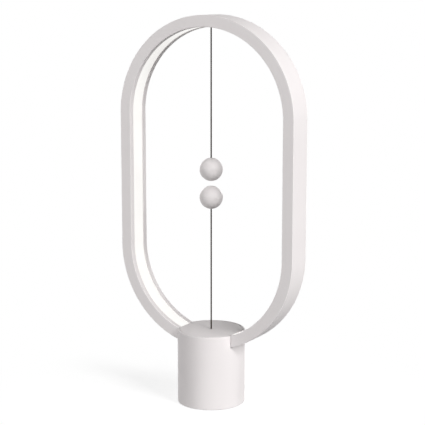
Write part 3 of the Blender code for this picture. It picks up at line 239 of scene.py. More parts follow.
# Finishes: a swing is how far the roughness goes below and above its middle
UNIT = (0.0, 1.0)
DIFFUSER_GLOW = 0.74
PLASTIC_CLOUDS = 18.0
OPAL_CLOUDS = 26.0
PLASTIC_SWING = (-0.06, 0.05)
METAL_SWING = (-0.05, 0.10)
FINER_GRAIN = 2.7
FINER_GRAIN_SHARE = 0.4
CLOUD_RANGE = (0.3, 0.7)
LINE_RANGE = (0.35, 0.65)
FIBRE_SHARE = 0.35
STRAND_RANGE = (0.75, 1.25)

# Camera
SENSOR_WIDTH = 36.0
VIEW_LENS = 106.197
VIEWPOINT = (0.6490, -1.0826, 0.4251)
VIEW_TILT = math.radians(79.89)
VIEW_TURN = math.radians(30.881)

# Floor and surroundings
WHITE_LIGHT = (1, 1, 1, 1)
FLOOR_REACH = 6.0
FLOOR_COLOUR = (0.20, 0.20, 0.20, 1)
FLOOR_SHADOW = (0.34, 0.34, 0.34, 1)
FLOOR_WHITE = 0.825
SHADOW_REACH = (0.10, 0.25)
AMBIENT = 0.01

# Lamps: name, compass angle from the front towards the right, height angle, side and power
LIGHT_MIDDLE = 0.22
LIGHT_DISTANCE = 5.0
LIGHTS = (
    ("right_high", 71, 36, 1.4, 152.0),
    ("right_low", 89, 12, 1.2, 124.0),
    ("front", 2, 5, 1.2, 58.0),
    ("front_left", -36, 5, 1.2, 70.0),
    ("back_left", -130, 5, 1.2, 82.0),
    ("back", 190, 5, 1.2, 64.0),
)


def in_scene(name, data):
    """A new object in the scene with this mesh, lamp or camera."""
    made = bpy.data.objects.new(name, data)
    bpy.context.scene.collection.objects.link(made)
    return made


def make_camera():
    """The photograph's viewpoint: to the right of the front and a little above the ring."""
    data = bpy.data.cameras.new("viewpoint")
    data.sensor_width = SENSOR_WIDTH
    data.lens = VIEW_LENS
    camera = in_scene("viewpoint", data)
    camera.location = VIEWPOINT
    camera.rotation_euler = (VIEW_TILT, 0, VIEW_TURN)
    bpy.context.scene.camera = camera


def spots(x, y, z):
    """Points from their three coordinates, each an array or one number for all."""
    return np.stack(np.broadcast_arrays(x, y, z), -1)


def polar(radius, angle, height):
    """Points about the upright axis: x is radius times the cosine of the angle, and y radius
    times its sine."""
    return spots(radius * np.cos(angle), radius * np.sin(angle), height)


def arc(radius, start, end, count, centre=(0, 0)):
    """Flat points on an arc, at even angles in degrees from start to end: the centre, plus radius
    times the angle's cosine in the first direction and its sine in the second."""
    angle = np.radians(np.linspace(start, end, count))
    return radius * np.stack([np.cos(angle), np.sin(angle)], -1) + centre


def quads(rows, columns, wrap_rows, wrap_columns):
    """The four-sided faces of a grid of points numbered row by row. A wrapped direction joins its
    last line to its first."""
    row, column = np.meshgrid(
        np.arange(rows - (not wrap_rows)), np.arange(columns - (not wrap_columns)), indexing="ij"
    )
    down, across = (row + 1) % rows, (column + 1) % columns
    corners = [(row, column), (down, column), (down, across), (row, across)]
    return np.stack([a * columns + b for a, b in corners], -1).reshape(-1, 4)


def grid(points, wrap_rows=False, wrap_columns=False):
    """A grid of points, rows by columns by three, as its flat points and its blocks of faces."""
    rows, columns, _ = points.shape
    return points.reshape(-1, 3), [quads(rows, columns, wrap_rows, wrap_columns)]


def lid(points):
    """One flat face over a closed line of points."""
    return points, [np.arange(len(points))[None, :]]


def joined(*surfaces):
    """Several surfaces as one: the face numbers of each are moved past the points before it."""
    points = [surface[0] for surface in surfaces]
    starts = np.cumsum([0] + [len(own) for own in points[:-1]])
    blocks = [block + start for (_, own), start in zip(surfaces, starts) for block in own]
    return np.concatenate(points), blocks


def capped(points):
    """Closed lines of points one after the other as a surface, with a lid over each end."""
    return joined(grid(points, False, True), lid(points[0]), lid(points[-1]))


def turned(profile, angle):
    """A profile of (radius, height) points, repeated at each angle about the upright axis."""
    radius, height = np.asarray(profile, float).T
    return polar(radius[None, :], angle[:, None], height[None, :])


def lathe(profile, columns):
    """A closed profile turned all the way round the upright axis."""
    angle = np.linspace(0, 2 * math.pi, columns, endpoint=False)
    return grid(turned(profile, angle), True, True)


def rounded(corners, radii, steps=3):
    """A closed outline with rounded corners. Each corner becomes a quadratic curve from a point
    one radius before it to a point one radius after it, and a support point a little further out
    on each side keeps the flat sides flat."""
    here = np.asarray(corners, float)
    back, ahead = np.roll(here, 1, 0) - here, np.roll(here, -1, 0) - here
    back /= np.linalg.norm(back, axis=1)[:, None]
    ahead /= np.linalg.norm(ahead, axis=1)[:, None]
    radius = np.broadcast_to(np.asarray(radii, float), len(here))[:, None]
    share = np.linspace(0, 1, steps + 1)[None, :, None]
    pull = (1 - share) ** 2 * back[:, None] + share**2 * ahead[:, None]
    curve = here[:, None] + radius[:, None] * pull
    first = (here + FLAT_SUPPORT * radius * back)[:, None]
    last = (here + FLAT_SUPPORT * radius * ahead)[:, None]
    return np.concatenate([first, curve, last], 1).reshape(-1, 2)


def square_loop(columns, rows):
    """Points (p, q) once round a square from -1 to 1, with this many steps along each side."""
    p, q = np.linspace(-1, 1, columns + 1), np.linspace(-1, 1, rows + 1)
    return np.concatenate([
        np.stack([p[:-1], -np.ones(columns)], -1), np.stack([np.ones(rows), q[:-1]], -1),
        np.stack([p[:0:-1], np.ones(columns)], -1), np.stack([-np.ones(rows), q[:0:-1]], -1),
    ]).T


def oblong(loop, half, corner, grow):
    """A rounded oblong about the port's middle, as x and z, that matches points (p, q) round a
    square from -1 to 1. Half of each half side goes to the straight stretch, and half to the
    corner's arc up to 45 degrees."""
    p, q = loop
    width, height, radius = half[0] + grow, half[1] + grow, corner + grow
    upright = np.abs(p) >= np.abs(q)
    along = np.where(upright, np.abs(q), np.abs(p))
    straight = np.minimum(2 * along, 1)
    bend = np.maximum(2 * along - 1, 0) * math.pi / 4
    angle = np.where(upright, bend, math.pi / 2 - bend)
    x = (width - radius) * np.where(upright, 1, straight) + radius * np.cos(angle)
    z = (height - radius) * np.where(upright, straight, 1) + radius * np.sin(angle)
    x = np.where(~upright & (along < 0.5), (width - radius) * straight, x)
    z = np.where(upright & (along < 0.5), (height - radius) * straight, z)
    return np.sign(p) * x, np.sign(q) * z + PORT_HEIGHT


def make_piece(name, surface, material, node=None, body="lamp", sharp=EDGE_ANGLE):
    """A closed mesh from points and blocks of faces, on its body and in its node's place. Points
    that coincide are merged, faces turn outwards, and edges sharper than an angle are shaded as
    edges."""
    points, blocks = surface
    mesh = bpy.data.meshes.new(name)
    mesh.from_pydata(points, [], [face for block in blocks for face in block.tolist()])
    shape = bmesh.new()
    shape.from_mesh(mesh)
    bmesh.ops.remove_doubles(shape, verts=shape.verts, dist=MERGE)
    bmesh.ops.recalc_face_normals(shape, faces=shape.faces)
    shape.to_mesh(mesh)
    shape.free()
    mesh.shade_smooth()
    mesh.set_sharp_from_angle(angle=sharp)
    mesh.materials.append(material)
    made = in_scene(name, mesh)
    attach(made, body)
    if node:
        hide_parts(node)
    return made


def weave(angle, height):
    """Height of a braid's surface from 0 to 1. Two families of strands run round the cord in
    opposite directions, and the higher one shows. A ridge is the size of a cosine of half the
    strands' number times the angle, with a turn added or taken off that grows with height."""
    turn = height / CORD_TWIST * 2 * math.pi / CORD_STRANDS
    right = np.abs(np.cos(CORD_STRANDS / 2 * (angle + turn)))
    left = np.abs(np.cos(CORD_STRANDS / 2 * (angle - turn)))
    over = 0.5 + 0.5 * np.sin(CORD_STRANDS * angle) * np.sin(CORD_STRANDS * turn)
    return np.maximum(right * (1 - WEAVE_DIP + WEAVE_DIP * over), left * (1 - WEAVE_DIP * over))


def braided(node, start, end, ball_start, ball_end, body):
    """An upright stretch of braided cord. Its radius is the cord's, plus the relief times the
    weave less its middle value. An end that turns on a pivot is a half ball about that end's
    point: the radius shrinks as an angle's cosine, and the height goes on as its sine. Any other
    end is flat."""
    (low, ball_low), (high, ball_high) = sorted([(start, ball_start), (end, ball_end)])
    bow = np.radians(np.linspace(90, 0, CORD_BALL_ROWS, endpoint=False))
    ball, flat = (CORD_RADIUS * np.sin(bow), np.cos(bow)), (np.zeros(1), np.zeros(1))
    below, below_share = ball if ball_low else flat
    above, above_share = ball if ball_high else flat
    rows = round((high - low) / CORD_ROW)
    height = np.concatenate([low - below, np.linspace(low, high, rows), high + above[::-1]])
    share = np.concatenate([below_share, np.ones(rows), above_share[::-1]])
    angle = np.linspace(0, 2 * math.pi, STRAND_COLUMNS * CORD_STRANDS, endpoint=False)
    relief = CORD_RELIEF * (weave(angle[None, :], height[:, None]) - WEAVE_MIDDLE)
    points = polar(share[:, None] * (CORD_RADIUS + relief), angle, height[:, None])
    made = make_piece(
        f"{node}_braid", grid(points, False, True), BRAID, node, body, NO_EDGES
    )
    place = np.empty(3 * len(made.data.vertices), np.float32)
    made.data.vertices.foreach_get("co", place)
    x, y, z = place.reshape(-1, 3).T
    strand = made.data.attributes.new("strand", "FLOAT", "POINT")
    strand.data.foreach_set("value", weave(np.arctan2(y, x), z).astype(np.float32))
    return made


def make_cord(which, anchor, side_pivot, fore_pivot, end, fixed_to):
    """One cord: a stub from its anchor to the pivot it swings sideways on, a short link to the
    pivot it swings fore and aft on, and the long stretch from there to the ball."""
    stub = braided(f"{which}_cord_stub", anchor, side_pivot, False, True, fixed_to)
    link = braided(f"{which}_cord_link", side_pivot, fore_pivot, True, True, f"{which}_link")
    cord = braided(f"{which}_cord", fore_pivot, end, True, False, f"{which}_ball")


def ring_stations():
    """Centre heights and angles along the ring, from the left leg over the top to the right leg.
    The angle is measured from +X, and the ends lie where the outer face is the legs' reach from
    the middle."""
    leg = math.asin(LEG_END_REACH / RING_OUTER)
    side = math.ceil((math.pi / 2 - leg) / ARC_STEP) + 1
    top = math.ceil(math.pi / ARC_STEP) + 1
    angle = np.concatenate([
        np.linspace(1.5 * math.pi - leg, math.pi, side),
        np.linspace(math.pi, 0, top),
        np.linspace(0, leg - math.pi / 2, side),
    ])
    centre = np.repeat([LOWER_CENTRE, UPPER_CENTRE, LOWER_CENTRE], [side, top, side])
    return centre[:, None], angle[:, None]


def ring_piece(name, section, material, node):
    """A section of (depth into the ring, y) points carried along the ring: x is the outer radius
    less the depth, times the cosine of the angle, and z the centre's height plus the same times
    its sine."""
    centre, angle = ring_stations()
    depth, y = section.T
    radius = RING_OUTER - depth
    points = spots(radius * np.cos(angle), y, centre + radius * np.sin(angle))
    make_piece(name, capped(points), material, node)


def make_ring():
    """Front shell, rear cover and lit diffuser, with softened edges and a hairline between the
    shells near the back."""
    front = rounded(
        [
            (0, SEAM_FRONT), (0, -RING_HALF), (RING_DEEP, -RING_HALF), (RING_DEEP, -LIP_EDGE),
            (LIP_BACK, -LIP_EDGE), (LIP_BACK, -SEAM_BACK), (SHELL_WALL, -SEAM_BACK),
            (SHELL_WALL, SEAM_FRONT),
        ],
        [FINE_ROUND, LIP_OUTER_ROUND, LIP_OUTER_ROUND, LIP_INNER_ROUND, *[FINE_ROUND] * 4],
    )
    ring_piece("ring_front_shell_skin", front, WHITE, "ring_front_shell")
    seam = SEAM_FRONT + SEAM_WIDTH
    rear = rounded(
        [
            (0, seam), (LIP_BACK, seam), (LIP_BACK, LIP_EDGE), (RING_DEEP, LIP_EDGE),
            (RING_DEEP, RING_HALF), (0, RING_HALF),
        ],
        [*[FINE_ROUND] * 3, LIP_INNER_ROUND, LIP_OUTER_ROUND, LIP_OUTER_ROUND],
    )
    ring_piece("ring_rear_cover_skin", rear, WHITE, "ring_rear_cover")
    face = LIP_EDGE - DIFFUSER_GAP
    opal = rounded(
        [
            (DIFFUSER_FOOT, DIFFUSER_HALF), (DIFFUSER_FOOT, DIFFUSER_ROOM),
            (DIFFUSER_BACK, DIFFUSER_ROOM), (DIFFUSER_BACK, -DIFFUSER_ROOM),
            (DIFFUSER_FOOT, -DIFFUSER_ROOM), (DIFFUSER_FOOT, -DIFFUSER_HALF),
            (DIFFUSER_SHELF, -DIFFUSER_HALF), (DIFFUSER_SHELF, -face), (DIFFUSER_FACE, -face),
            (DIFFUSER_FACE, face), (DIFFUSER_SHELF, face), (DIFFUSER_SHELF, DIFFUSER_HALF),
        ],
        DIFFUSER_ROUND, 2,
    )
    ring_piece("ring_diffuser_lit", opal, LIT_OPAL, "ring_diffuser")


def notch_floor(x):
    """Height of the round notch that a leg of the ring lies in: the lower centre's height less
    the other side of a right triangle on the notch's radius and x."""
    return LOWER_CENTRE - np.sqrt(NOTCH_OUTER**2 - x**2)


def notch_corners(half):
    """The angles of the notches' corners round a circle, from half a notch before +X."""
    return [-half, half, math.pi - half, math.pi + half, 2 * math.pi - half]


def bore_angle(angle):
    """The angle on the bore that faces an angle on the outer circle. Both run evenly from one
    corner of the notches to the next, so the notches' sides are parallel."""
    return np.interp(angle, notch_corners(NOTCH_OUT), notch_corners(NOTCH_IN))


def wall(angle, depth, height):
    """Points of the base wall, columns by rows: each is the outer circle's point times one less a
    share, plus the bore's point times that share, which is the depth over the wall's
    thickness."""
    share = depth / BASE_WALL
    outside = polar((1 - share) * BASE_RADIUS, angle[:, None], 0)
    return outside + polar(share * BORE_RADIUS, bore_angle(angle)[:, None], height)


def wall_side(angle, depth, top, ported):
    """One side of the wall from its foot up to a height for each column. At the port it leaves
    out the field that the port's rings fill."""
    field = np.linspace(-PORT_FIELD_HALF, PORT_FIELD_HALF, PORT_ROWS + 1) + PORT_HEIGHT
    rows = np.concatenate([BASE_LOW_ROWS, field, [BASE_HIGH_ROW, NOTCH_SHELF]])
    height = np.append(np.broadcast_to(rows, (len(angle), len(rows))), top[:, None], 1)
    points = wall(angle, depth, height)
    if not ported:
        return [grid(points)]
    first = len(BASE_LOW_ROWS)
    return [grid(points[:, : first + 1]), grid(points[:, first + PORT_ROWS :])]


def wall_foot(angle):
    """The wall's foot, from the lowest row of the bore under the wall and round its edge."""
    low = BASE_LOW_ROWS[0]
    profile = np.concatenate([
        [(BASE_WALL, low), (BASE_WALL, BASE_BOTTOM)],
        arc(BASE_EDGE, -90, -180, BASE_EDGE_POINTS, (BASE_EDGE, BASE_BOTTOM + BASE_EDGE)),
        [(0, low)],
    ])
    return wall(angle, *profile.T)


def wall_crown(angle, low_outside, low_inside):
    """The wall above the notches' corners: up the outside, over both edges and down the bore."""
    edge, rim = BASE_TOP - BASE_EDGE, BASE_TOP - RIM_EDGE
    profile = np.concatenate([
        [(0, low_outside), (0, edge - EDGE_SUPPORT)],
        arc(BASE_EDGE, 180, 90, BASE_EDGE_POINTS, (BASE_EDGE, edge)),
        [(BASE_EDGE + EDGE_SUPPORT, BASE_TOP), (BASE_WALL - RIM_EDGE - EDGE_SUPPORT, BASE_TOP)],
        arc(RIM_EDGE, 90, 0, RIM_EDGE_POINTS, (BASE_WALL - RIM_EDGE, rim)),
        [(BASE_WALL, rim - EDGE_SUPPORT), (BASE_WALL, low_inside)],
    ])
    return wall(angle, *profile.T)


def wall_span(start, end, steps, notched=False, ported=False):
    """The wall between two angles. A notched span ends at the notch's floor, and any other has
    the crown above it, with a lid where it meets a notch."""
    angle = np.linspace(start, end, steps + 1)
    at_out, at_in = (angle, bore_angle(angle)) if notched else (NOTCH_OUT, NOTCH_IN)
    top_out = notch_floor(BASE_RADIUS * np.cos(at_out)) + 0 * angle
    top_in = notch_floor(BORE_RADIUS * np.cos(at_in)) + 0 * angle
    if notched:
        parts = [grid(wall(angle, np.array([0, BASE_WALL]), np.stack([top_out, top_in], -1)))]
    else:
        crown = wall_crown(angle, top_out[0], top_in[0])
        parts = [grid(crown)]
        parts += [lid(crown[line]) for line, at in ((0, start), (-1, end))
                  if np.isclose(at, notch_corners(NOTCH_OUT)).any()]
    parts.append(grid(wall_foot(angle)))
    parts += wall_side(angle, 0, top_out, ported)
    parts += wall_side(angle, BASE_WALL, top_in, ported)
    return parts


def port_rings():
    """The port as rings that shrink from a field of the wall to the port's mouth, turn over its
    rim, run in along the sleeve and come back to the same field on the bore. On a round face, y is
    the other side of a right triangle on the face's radius and x."""
    loop = square_loop(PORT_COLUMNS, PORT_ROWS)
    field = PORT_TURN - loop[0] * PORT_FIELD_ANGLE
    level = PORT_HEIGHT + loop[1] * PORT_FIELD_HALF

    def on_face(radius, angle, grow, share):
        """A ring on a round face, a share of the way from the field's edge to the mouth."""
        x, z = oblong(loop, PORT_HALF, PORT_CORNER, grow)
        x = (1 - share) * (radius * np.cos(angle)) + share * x
        return spots(x, np.sqrt(radius**2 - x**2), (1 - share) * level + share * z)

    rings = [on_face(BASE_RADIUS, field, PORT_RIM, share) for share in PORT_OUTER_SHARES]
    for grow, behind in arc(PORT_RIM, 270, 180, BEND_POINTS, (PORT_RIM, PORT_RIM))[1:]:
        x, z = oblong(loop, PORT_HALF, PORT_CORNER, grow)
        rings.append(spots(x, np.sqrt(BASE_RADIUS**2 - x**2) - behind, z))
    for grow in (0, SLEEVE_WALL):
        x, z = oblong(loop, PORT_HALF, PORT_CORNER, grow)
        rings.append(spots(x, PORT_FRONT, z))
    inside = bore_angle(field)
    rings += [on_face(BORE_RADIUS, inside, SLEEVE_WALL, share) for share in PORT_INNER_SHARES]
    return grid(np.stack(rings), False, True)


def make_housing():
    """The round wall with its two notches, span by span from the notch on the right, and the
    power port in its back."""
    corners = notch_corners(NOTCH_OUT)
    before, after = PORT_TURN - PORT_FIELD_ANGLE, PORT_TURN + PORT_FIELD_ANGLE
    parts = [
        *wall_span(corners[0], corners[1], SIDE_STEPS, notched=True),
        *wall_span(corners[1], before, SIDE_STEPS),
        *wall_span(before, after, PORT_COLUMNS, ported=True),
        *wall_span(after, corners[2], SIDE_STEPS),
        *wall_span(corners[2], corners[3], SIDE_STEPS, notched=True),
        *wall_span(corners[3], corners[4], FRONT_STEPS),
        port_rings(),
    ]
    make_piece("base_housing_skin", joined(*parts), WHITE, "base_housing")


def leg_distance(height):
    """How far from the middle a leg's inner face passes a height: the other side of a right
    triangle on that face's radius and the way up to its centre."""
    return math.sqrt(NOTCH_INNER**2 - (LOWER_CENTRE - height) ** 2)


def make_cap():
    """The flat disc on the base, with the bush's seat. Its edge is the smaller of a circle and,
    where a leg of the ring rises, a straight line at the distance of the leg's inner face."""
    corner = math.acos(leg_distance(BASE_TOP) / CAP_RADIUS)
    quarter = np.append(
        np.linspace(0, corner, CAP_LEG_STEPS, endpoint=False),
        np.linspace(corner, math.pi / 2, CAP_REST_STEPS + 1),
    )
    half = np.append(quarter, math.pi - quarter[-2::-1])
    angle = np.append(half, math.pi + half[1:-1])

    def edge(height, inset):
        """The edge's distance from the middle at each angle."""
        line, across = leg_distance(height), np.abs(np.cos(angle))
        by_leg = line * np.abs(np.sin(angle)) <= NOTCH_HALF * across + MERGE
        chord = np.where(by_leg, line / np.maximum(across, MERGE), math.inf)
        return np.minimum(CAP_RADIUS - inset, chord)

    rim, foot = edge(BASE_TOP, CAP_EDGE[0][1]), edge(CAP_BOTTOM, 0)
    rows = [
        (CAP_BORE, CAP_BOTTOM), (CAP_BORE, CAP_SEAT_FLOOR), (CAP_SEAT, CAP_SEAT_FLOOR),
        (CAP_SEAT, BASE_TOP - CAP_SEAT_EDGE), (CAP_SEAT + CAP_SEAT_EDGE, BASE_TOP),
        *[(CAP_SEAT + (rim - CAP_SEAT) * share, BASE_TOP) for share in CAP_TOP_SHARES],
        *[(edge(BASE_TOP - drop, inset), BASE_TOP - drop) for drop, inset in CAP_EDGE],
        (edge(CAP_SIDE_ROW, 0), CAP_SIDE_ROW), (foot, CAP_BOTTOM),
        *[(CAP_BORE + (foot - CAP_BORE) * share, CAP_BOTTOM) for share in CAP_UNDER_SHARES],
    ]
    points = np.stack([polar(radius, angle, height) for radius, height in rows])
    make_piece("top_cap_skin", grid(points, True, True), WHITE, "top_cap")


def make_bush():
    """The bush that the lower cord runs through: a flange with a rounded lip and flared mouth."""
    lip = (BUSH_FLANGE - BUSH_LIP, BASE_TOP - BUSH_LIP)
    mouth = (BUSH_BORE + BUSH_FLARE, BASE_TOP - BUSH_FLARE)
    profile = np.concatenate([
        arc(BUSH_LIP, 90, 0, BEND_POINTS, lip),
        [(BUSH_FLANGE, BUSH_STEP), (BUSH_BODY, BUSH_STEP)],
        [(BUSH_BODY, BUSH_BOTTOM), (BUSH_BORE, BUSH_BOTTOM)],
        arc(BUSH_FLARE, 180, 90, BEND_POINTS, mouth),
    ])
    make_piece(
        "cord_eyelet_skin", lathe(profile, BUSH_COLUMNS), WHITE, "cord_eyelet"
    )


def make_ball(name, height, magnet_up):
    """A ball in two halves that meet at its middle with a hairline. One half has the cord's
    rounded hole. The profile is an arc of the ball's radius and comes back on its wall."""
    inside = BALL_RADIUS - BALL_WALL
    seam = (BALL_RADIUS - BALL_SEAM_EDGE, BALL_SEAM)
    start = math.degrees(math.asin((BALL_SEAM + BALL_SEAM_EDGE) / BALL_RADIUS))
    hole = math.degrees(math.acos((BALL_HOLE + HOLE_LIP) / BALL_RADIUS))
    mouth = math.sqrt(BALL_RADIUS**2 - BALL_HOLE**2) - HOLE_LIP_DEPTH
    collar = math.degrees(math.acos(COLLAR_RADIUS / inside))
    cord_half = np.concatenate([
        [seam], arc(BALL_RADIUS, start, hole, CORD_HALF_POINTS),
        [(BALL_HOLE + HOLE_LIP_SOFT, mouth + HOLE_LIP), (BALL_HOLE, mouth)],
        [(BALL_HOLE, inside - COLLAR_DEPTH), (COLLAR_RADIUS, inside - COLLAR_DEPTH)],
        arc(inside, collar, 1, BALL_INSIDE_POINTS), [(inside, BALL_SEAM)],
    ])
    magnet_half = np.concatenate([
        [seam], arc(BALL_RADIUS, start, 90, MAGNET_HALF_POINTS),
        arc(inside, 90, 1, BALL_INSIDE_POINTS), [(inside, BALL_SEAM)],
    ])
    up = 1 if magnet_up else -1
    for part, profile, way in (("cord_half", cord_half, -up), ("magnet_half", magnet_half, up)):
        # Both halves wear the balls' white, which carries painted shade
        make_piece(
            f"{name}_{part}_skin", lathe(profile * [1, way] + [0, height], BALL_COLUMNS),
            BALL_WHITE_PAINTED_SHADE, f"{name}_{part}", name,
        )


def make_socket():
    """The power socket: rings of a rounded oblong run out to a rolled mouth and back in to a
    floor, and a flat tongue stands inside."""
    loop = square_loop(SOCKET_COLUMNS, SOCKET_ROWS)
    roll = SOCKET_WALL / 2
    mouth = arc(roll, 0, 180, SOCKET_ROLL_POINTS, (-roll, SOCKET_FACE - roll))
    stages = [(0, SOCKET_BACK), *mouth, (-SOCKET_WALL, SOCKET_FLOOR)]
    tip = [(-inset, TONGUE_FACE - behind) for inset, behind in TONGUE_TIP]

    def oblongs(half, corner, stages):
        """Rings of an oblong, each grown by an amount and at a y of its own."""
        rings = [(oblong(loop, half, corner, grow), y) for grow, y in stages]
        return capped(np.stack([spots(x, y, z) for (x, z), y in rings]))

    shell = oblongs(SOCKET_HALF, SOCKET_CORNER, stages)
    tongue = oblongs(TONGUE_HALF, TONGUE_CORNER, [(0, SOCKET_FLOOR), *tip])
    make_piece("inlet_socket_shell", shell, SOCKET_STEEL, "inlet_socket")
    make_piece("inlet_socket_tongue", tongue, BLACK)


def make_cover():
    """The bottom cover: a turned plate with the foot's groove and a counterbore in its middle.
    Round each outer screw, a field of the plate is rings that shrink to a round counterbore."""
    inner, outer = FOOT_RADII[0] - FOOT_ROOM, FOOT_RADII[1] + FOOT_ROOM
    groove = FOOT_TOP + FOOT_ROOM
    near, far = SCREW_FIELD
    counterbore = [
        (COUNTERBORE_RADIUS + COVER_EDGE, BASE_BOTTOM),
        (COUNTERBORE_RADIUS, BASE_BOTTOM + COVER_EDGE),
        (COUNTERBORE_RADIUS, COUNTERBORE_FLOOR),
    ]
    middle = [
        (0, COUNTERBORE_FLOOR), *counterbore[::-1], (inner, BASE_BOTTOM), (inner, groove),
        (outer, groove), (outer, BASE_BOTTOM), (near, BASE_BOTTOM),
    ]
    between = [(near, BASE_BOTTOM), (far, BASE_BOTTOM)]
    rim = [
        (far, BASE_BOTTOM), (CAP_RADIUS, BASE_BOTTOM + COVER_EDGE), (CAP_RADIUS, COVER_TOP),
        (0, COVER_TOP),
    ]
    p, q = square_loop(FIELD_STEPS, 1)
    parts = []
    for about, place in zip(SCREW_ANGLES, SCREW_PLACES):
        start, end = about - SCREW_FIELD_ANGLE, about + SCREW_FIELD_ANGLE
        at_screw = np.linspace(start, end, FIELD_STEPS + 1)
        past_screw = np.linspace(end, start + math.pi / 2, PLATE_STEPS + 1)
        parts += [grid(turned(profile, at_screw)) for profile in (middle, rim)]
        parts += [grid(turned(profile, past_screw)) for profile in (middle, rim, between)]
        radius = (near + far) / 2 + q * (far - near) / 2
        field = polar(radius, about + p * SCREW_FIELD_ANGLE, BASE_BOTTOM)
        away = field[:, :2] - place
        away /= np.linalg.norm(away, axis=1)[:, None]
        rings = [field, *[spots(*(place + size * away).T, z) for size, z in counterbore]]
        parts += [grid(np.stack(rings), False, True), lid(rings[-1])]
    make_piece("bottom_cover_skin", joined(*parts), WHITE, "bottom_cover")


def make_foot():
    """The rubber ring under the base, with shallow rings moulded in its sole: the sole's height
    is a low wave of the radius that touches the floor."""
    inner, outer = FOOT_RADII
    share = np.linspace(0, 1, FOOT_RIBS * RIB_STEPS + 1)
    radius = inner + FOOT_EDGE + share * (outer - inner - 2 * FOOT_EDGE)
    sole = np.stack([radius, RIB_DEPTH * (0.5 - 0.5 * np.cos(2 * math.pi * FOOT_RIBS * share))], -1)
    profile = np.concatenate([
        [(inner, FOOT_TOP), (inner, FOOT_EDGE), (inner + FOOT_BEVEL, FOOT_BEVEL)], sole,
        [(outer - FOOT_BEVEL, FOOT_BEVEL), (outer, FOOT_EDGE), (outer, FOOT_TOP)],
    ])
    make_piece("foot_pad_ribbed", lathe(profile, FOOT_COLUMNS), RUBBER, "foot_pad")


def make_screw(name, place, length):
    """A screw from below: a pan head with a rounded edge and a hexagon recess, whose half width
    is the flat's distance over the cosine of the angle to the middle of the flat, on a shank
    whose radius follows a helical thread: its wave is half of one plus the cosine of the angle
    less a full turn for each pitch of height."""
    angle = np.linspace(0, 2 * math.pi, SCREW_COLUMNS, endpoint=False)
    to_flat = np.abs((angle + math.pi / 6) % (math.pi / 3) - math.pi / 6)
    recess = RECESS_HALF / np.cos(to_flat)
    low = SCREW_SEAT - HEAD_HEIGHT
    head = [
        (0, low + RECESS_DEPTH), (recess, low + RECESS_DEPTH), (recess, low + RECESS_EDGE),
        (recess + RECESS_EDGE, low),
        *arc(HEAD_ROUND, -90, 0, BEND_POINTS, (HEAD_RADIUS - HEAD_ROUND, low + HEAD_ROUND)),
        (HEAD_RADIUS, SCREW_SEAT - HEAD_BEVEL), (HEAD_RADIUS - HEAD_BEVEL, SCREW_SEAT),
    ]
    share = np.linspace(0, 1, round(length / THREAD_ROW))[:, None]
    height = SCREW_SEAT + share * length
    wave = 0.5 + 0.5 * np.cos(angle - 2 * math.pi * height / THREAD_PITCH)
    taper = np.minimum(1, POINT_TAPER * (1 - share) + POINT_BLUNT)
    points = np.concatenate([
        np.stack([polar(radius, angle, z) for radius, z in head]),
        polar((CORE_RADIUS + THREAD_DEPTH * wave) * taper, angle, height),
        polar(0, angle, SCREW_SEAT + length)[None],
    ])
    surface = grid(points + [*place, 0], False, True)
    make_piece(f"{name}_threaded", surface, ZINC, name)


def put(tree, kind, inputs=None, **settings):
    """A node in a tree, with its settings, and with a value or another node's output in each
    named or numbered input."""
    made = tree.nodes.new(kind)
    for name, value in settings.items():
        setattr(made, name, value)
    for name, value in (inputs or {}).items():
        if isinstance(value, bpy.types.NodeSocket):
            tree.links.new(value, made.inputs[name])
        else:
            made.inputs[name].default_value = value
    return made


def calculate(tree, operation, *values):
    """The result of an arithmetic operation on values and other nodes' outputs."""
    inputs = dict(enumerate(values))
    return put(tree, "ShaderNodeMath", inputs, operation=operation).outputs[0]


def noise(tree, place, scale, detail):
    """Smooth noise from 0 to 1."""
    inputs = {"Vector": place, "Scale": scale, "Detail": detail}
    return put(tree, "ShaderNodeTexNoise", inputs).outputs[0]


def mapped(tree, value, takes=UNIT, gives=UNIT, **settings):
    """A value moved from one range to another, and held inside it."""
    inputs = {0: value, 1: takes[0], 2: takes[1], 3: gives[0], 4: gives[1]}
    return put(tree, "ShaderNodeMapRange", inputs, **settings).outputs[0]


def tones(tree, mask, first, second):
    """A colour between two tones, as the mask goes from 0 to 1."""
    inputs = {0: mask, 6: (*first, 1.0), 7: (*second, 1.0)}
    return put(tree, "ShaderNodeMix", inputs, data_type="RGBA").outputs[2]


def bump(tree, height, depth):
    """The normal of a height that is raised in the shading, to a depth in metres."""
    return put(tree, "ShaderNodeBump", {"Height": height, "Distance": depth}).outputs[0]


def make_group(name, takes, gives):
    """An empty node group with its named inputs and outputs, each with the kind of value."""
    tree = bpy.data.node_groups.new(name, "ShaderNodeTree")
    for way, sockets in (("INPUT", takes), ("OUTPUT", gives)):
        for label, kind in sockets.items():
            tree.interface.new_socket(label, in_out=way, socket_type=f"NodeSocket{kind}")
    return tree, tree.nodes.new("NodeGroupInput").outputs, tree.nodes.new("NodeGroupOutput").inputs


def make_grain():
    """Moulded grain: a fine and a finer noise added up as a height, and a broad soft cloud as a
    mask for slow changes of tone."""
    tree, take, give = make_group(
        "moulded_grain",
        {"Place": "Vector", "Fineness": "Float", "Breadth": "Float"},
        {"Height": "Float", "Cloud": "Float"},
    )
    place, fineness = take["Place"], take["Fineness"]
    fine = noise(tree, place, fineness, detail=2.0)
    finer = noise(tree, place, calculate(tree, "MULTIPLY", fineness, FINER_GRAIN), detail=1.0)
    broad = noise(tree, place, take["Breadth"], detail=2.0)
    height = calculate(tree, "MULTIPLY_ADD", finer, FINER_GRAIN_SHARE, fine)
    tree.links.new(height, give["Height"])
    tree.links.new(mapped(tree, broad, CLOUD_RANGE), give["Cloud"])
    return tree


